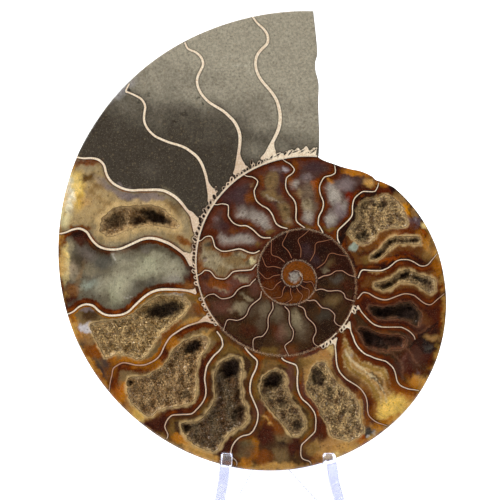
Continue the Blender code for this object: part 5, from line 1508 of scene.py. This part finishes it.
easel = {
    "plate": 3.2, "frontFeet": -33.9, "apex": (4.9, 30.7), "leftFoot": -11.1, "rightFoot": 28.5,
    "postRadius": 2.7, "postFrom": 1.3, "postTo": 56.4, "backFoot": (32.0, 6.4, 5.0), "footRounding": 1.4,
    "hookRadius": 1.6, "hookFillet": 0.3, "hookUp": -56.9, "seats": (-59.9, -58.7), "seatRounding": 2.4,
    "restDepths": (14.2, 13.2), "restTop": 6.0, "restRounding": 2.6, "backRounding": 3.0, "backTop": 55.7,
    "shoulder": 68.0, "legEdge": ((8.0, 12.2), (5.0, 8.8), (2.4, 5.4), (0.7, 2.4)), "edge": 0.35,
    "postEdge": 0.3, "gap": 0.3,
}


def arcPoints(centre, radius, start, end, count):
    angles = np.radians(np.linspace(start, end, count))
    return [(centre[0] + radius * math.cos(a), centre[1] + radius * math.sin(a)) for a in angles]


def sideView(up, depth):
    # A point of the stone's middle section, by how far up the face and how deep behind it, in mm
    return tuple(float(value) for value in toWorld(np.array([[0.0, up]]), np.array([depth]))[0, 1:] / mm)


def plateProfile(seat, restDepth):
    feet = easel["frontFeet"]
    back = easel["apex"][1] + 0.5 * easel["plate"]
    lean = coil["leanDegrees"]
    seatRound, restRound, backRound = easel["seatRounding"], easel["restRounding"], easel["backRounding"]
    profile = [(feet, 0.0), (back, 0.0)]
    profile += arcPoints((back - backRound, easel["backTop"] - backRound), backRound, 0, easel["shoulder"], 9)
    profile += arcPoints(sideView(easel["restTop"], restDepth + restRound), restRound, easel["shoulder"],
                         180 - lean, 12)
    profile += arcPoints(sideView(seat + seatRound, restDepth - seatRound), seatRound, -lean, -90 - lean, 9)
    profile.append(sideView(seat, easel["hookFillet"] - easel["gap"]))
    profile.append(sideView(seat + easel["hookFillet"], -easel["gap"]))
    profile += arcPoints(sideView(easel["hookUp"], -easel["gap"] - easel["hookRadius"]), easel["hookRadius"],
                         -lean, 180 - lean, 19)
    return profile + [(feet + behind, height) for behind, height in easel["legEdge"]]


def bevelled(piece, width, segments, chosen=None):
    # Rounds all edges, or those whose two ends pass the test
    bevel = piece.modifiers.new("edges", "BEVEL")
    bevel.width = width * mm
    bevel.segments = segments
    if chosen:
        bevel.limit_method = "WEIGHT"
        weights = piece.data.attributes.new("bevel_weight_edge", "FLOAT", "EDGE").data
        for edge in piece.data.edges:
            weights[edge.index].value = chosen(*(piece.data.vertices[i].co for i in edge.vertices))
    activeOnly(piece)
    bpy.ops.object.modifier_apply(modifier=bevel.name)


def makePlate(name, footX, seat, restDepth):
    # A disc with as many corners as the profile, moved to it, grown sideways and swung in to the apex
    profile = plateProfile(seat, restDepth)
    bpy.ops.mesh.primitive_circle_add(vertices=len(profile), radius=0.01, fill_type="NGON")
    plate = bpy.context.object
    plate.name = name
    half = 0.5 * easel["plate"]
    for vertex, (y, z) in zip(plate.data.vertices, profile):
        vertex.co = (-half * mm, y * mm, z * mm)
    activeOnly(plate)
    bpy.ops.object.mode_set(mode="EDIT")
    bpy.ops.mesh.select_all(action="SELECT")
    bpy.ops.mesh.extrude_region_move(TRANSFORM_OT_translate={"value": (2 * half * mm, 0, 0)})
    bpy.ops.mesh.select_all(action="SELECT")
    bpy.ops.mesh.normals_make_consistent(inside=False)
    bpy.ops.object.mode_set(mode="OBJECT")
    bevelled(plate, easel["edge"], 3,
             lambda one, two: abs(one.x - two.x) < 1e-6 and max(one.z, two.z) > 0.1 * mm)
    slope = (easel["apex"][0] - footX) / (easel["apex"][1] - easel["frontFeet"])
    for vertex in plate.data.vertices:
        vertex.co.x += footX * mm + slope * (vertex.co.y - easel["frontFeet"] * mm)
    return plate


def joinOnto(piece, other):
    union = piece.modifiers.new("join", "BOOLEAN")
    union.operation = "UNION"
    union.solver = "EXACT"
    union.object = other
    activeOnly(piece)
    bpy.ops.object.modifier_apply(modifier=union.name)
    bpy.data.objects.remove(other)


def makeEasel(material):
    piece = makePlate("clearEasel", easel["leftFoot"], easel["seats"][0], easel["restDepths"][0])
    tall = easel["postTo"] - easel["postFrom"]
    x, y = easel["apex"]
    bpy.ops.mesh.primitive_cylinder_add(vertices=64, radius=easel["postRadius"] * mm, depth=tall * mm,
                                        location=(x * mm, y * mm, (easel["postFrom"] + 0.5 * tall) * mm))
    post = bpy.context.object
    bevelled(post, easel["postEdge"], 2)
    joinOnto(piece, post)
    joinOnto(piece, makePlate("rightPlate", easel["rightFoot"], easel["seats"][1], easel["restDepths"][1]))
    wide, deep, high = easel["backFoot"]
    bpy.ops.mesh.primitive_cube_add(size=1.0)
    bar = bpy.context.object
    for vertex in bar.data.vertices:
        vertex.co = ((x + wide * vertex.co.x) * mm, (y + deep * vertex.co.y) * mm,
                     high * (vertex.co.z + 0.5) * mm)
    bevelled(bar, easel["footRounding"], 6, lambda one, two: max(one.z, two.z) > 2 * mm)
    joinOnto(piece, bar)
    activeOnly(piece)
    bpy.ops.object.mode_set(mode="EDIT")
    bpy.ops.mesh.select_all(action="SELECT")
    bpy.ops.mesh.quads_convert_to_tris()
    bpy.ops.mesh.normals_make_consistent(inside=False)
    bpy.ops.object.mode_set(mode="OBJECT")
    piece.data.materials.clear()
    piece.data.materials.append(material)
    smoothShade(piece, 20)
    for face in piece.data.polygons:
        upright = abs(face.normal.z) < 0.01 and abs(face.normal.x) > 0.9
        if upright or face.normal.z < -0.99:
            face.use_smooth = False
    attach(piece, "root")
    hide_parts("easel")


# Everything together

grainGroup = makeGrainGroup()
featherGroup = makeFeatherGroup()
faceMaterial = makeFaceMaterial(grainGroup, featherGroup)
stonePiece = makeStone(faceMaterial, makeShellMaterial(grainGroup, featherGroup))
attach(stonePiece, "root")
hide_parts("ammonite_half")

crystalMaterial = makeCrystalMaterial(featherGroup)
for number, name in enumerate(hollows):
    makeCrust(name, crystalMaterial, 100 + number)
print("crusts made")

makeEasel(makeClearMaterial())
print("easel made")


# Floor, light and camera
studio = {
    "lamps": {"keyLeft": ((-0.8, -0.4, 0.9), 0.4, 15.0), "fillRight": ((0.8, -0.45, 0.55), 0.7, 1.8),
              "top": ((0, 0.1, 1.2), 0.9, 4.0)},
    "lampAim": (0, 0, 0.07), "floorSide": 8.0, "lens": 114.3, "sensor": 36.0,
    "cameraAim": (-0.75, -1.2, 79.7), "cameraAway": 0.5,
}
lean = math.radians(coil["leanDegrees"])
towardsCamera = (0, -math.cos(lean), math.sin(lean))


def seenStrength(tree, lighting, seen, through):
    # A surface's own light: on matt things, as seen directly or in a gloss, and as seen through the stand
    path = addNode(tree, "LightPath").outputs
    direct = arith(tree, "MAXIMUM", path["Is Camera Ray"], path["Is Glossy Ray"])
    strength = ranged(tree, direct, 0.0, 1.0, lighting, seen)
    return arith(tree, "MAXIMUM", strength, arith(tree, "MULTIPLY", path["Is Transmission Ray"], through))


def makeFloor():
    bpy.ops.mesh.primitive_plane_add(size=studio["floorSide"], location=(0, 0, 0))
    floor = bpy.context.object
    floor.name = "floor"
    material, tree, shader = newMaterial("whiteFloor")
    feed(tree, shader, {"Base Color": (0.92, 0.92, 0.92, 1), "Roughness": 0.6, "Emission Color": (1, 1, 1, 1),
                        "Emission Strength": seenStrength(tree, 0.0, 0.9, 0.96)})
    floor.data.materials.append(material)


def turnTo(thing, aim):
    thing.rotation_euler = (Vector(aim) - thing.location).to_track_quat("-Z", "Y").to_euler()
    bpy.context.scene.collection.objects.link(thing)


def addLamp(name, place, size, power):
    light = bpy.data.lights.new(name, "AREA")
    light.shape = "DISK"
    light.size = size
    light.energy = power
    lamp = bpy.data.objects.new(name, light)
    lamp.location = place
    turnTo(lamp, studio["lampAim"])


def makeWorld():
    # White all round, and darker behind the camera, so that the polished face keeps its deep colours
    world = bpy.data.worlds.new("studio")
    world.use_nodes = True
    tree = world.node_tree
    place = addNode(tree, "TexCoord").outputs["Generated"]
    facing = addNode(tree, "VectorMath", {0: place, 1: towardsCamera}, operation="DOT_PRODUCT")
    tone = ranged(tree, facing.outputs["Value"], 0.8, 0.35, 0.015, 1.0)
    grey = addNode(tree, "CombineColor", {0: tone, 1: tone, 2: tone}).outputs[0]
    path = addNode(tree, "LightPath").outputs
    seen = arith(tree, "MAXIMUM", path["Is Camera Ray"], path["Is Transmission Ray"])
    feed(tree, tree.nodes["Background"], {"Color": mixColour(tree, seen, grey, (1, 1, 1, 1)),
                                          "Strength": seenStrength(tree, 0.2, 1.0, 1.0)})
    bpy.context.scene.world = world


def makeCamera():
    camera = bpy.data.cameras.new("camera")
    camera.lens = studio["lens"]
    camera.sensor_width = studio["sensor"]
    camera.clip_start = 0.01
    camera.clip_end = 20.0
    viewer = bpy.data.objects.new("camera", camera)
    aim = Vector(studio["cameraAim"]) * mm
    viewer.location = aim + Vector(towardsCamera) * studio["cameraAway"]
    turnTo(viewer, aim)
    bpy.context.scene.camera = viewer


makeFloor()
for name, (place, size, power) in studio["lamps"].items():
    addLamp(name, place, size, power)
makeWorld()
makeCamera()
bpy.context.scene.view_settings.view_transform = "Standard"
bpy.context.scene.view_settings.look = "None"
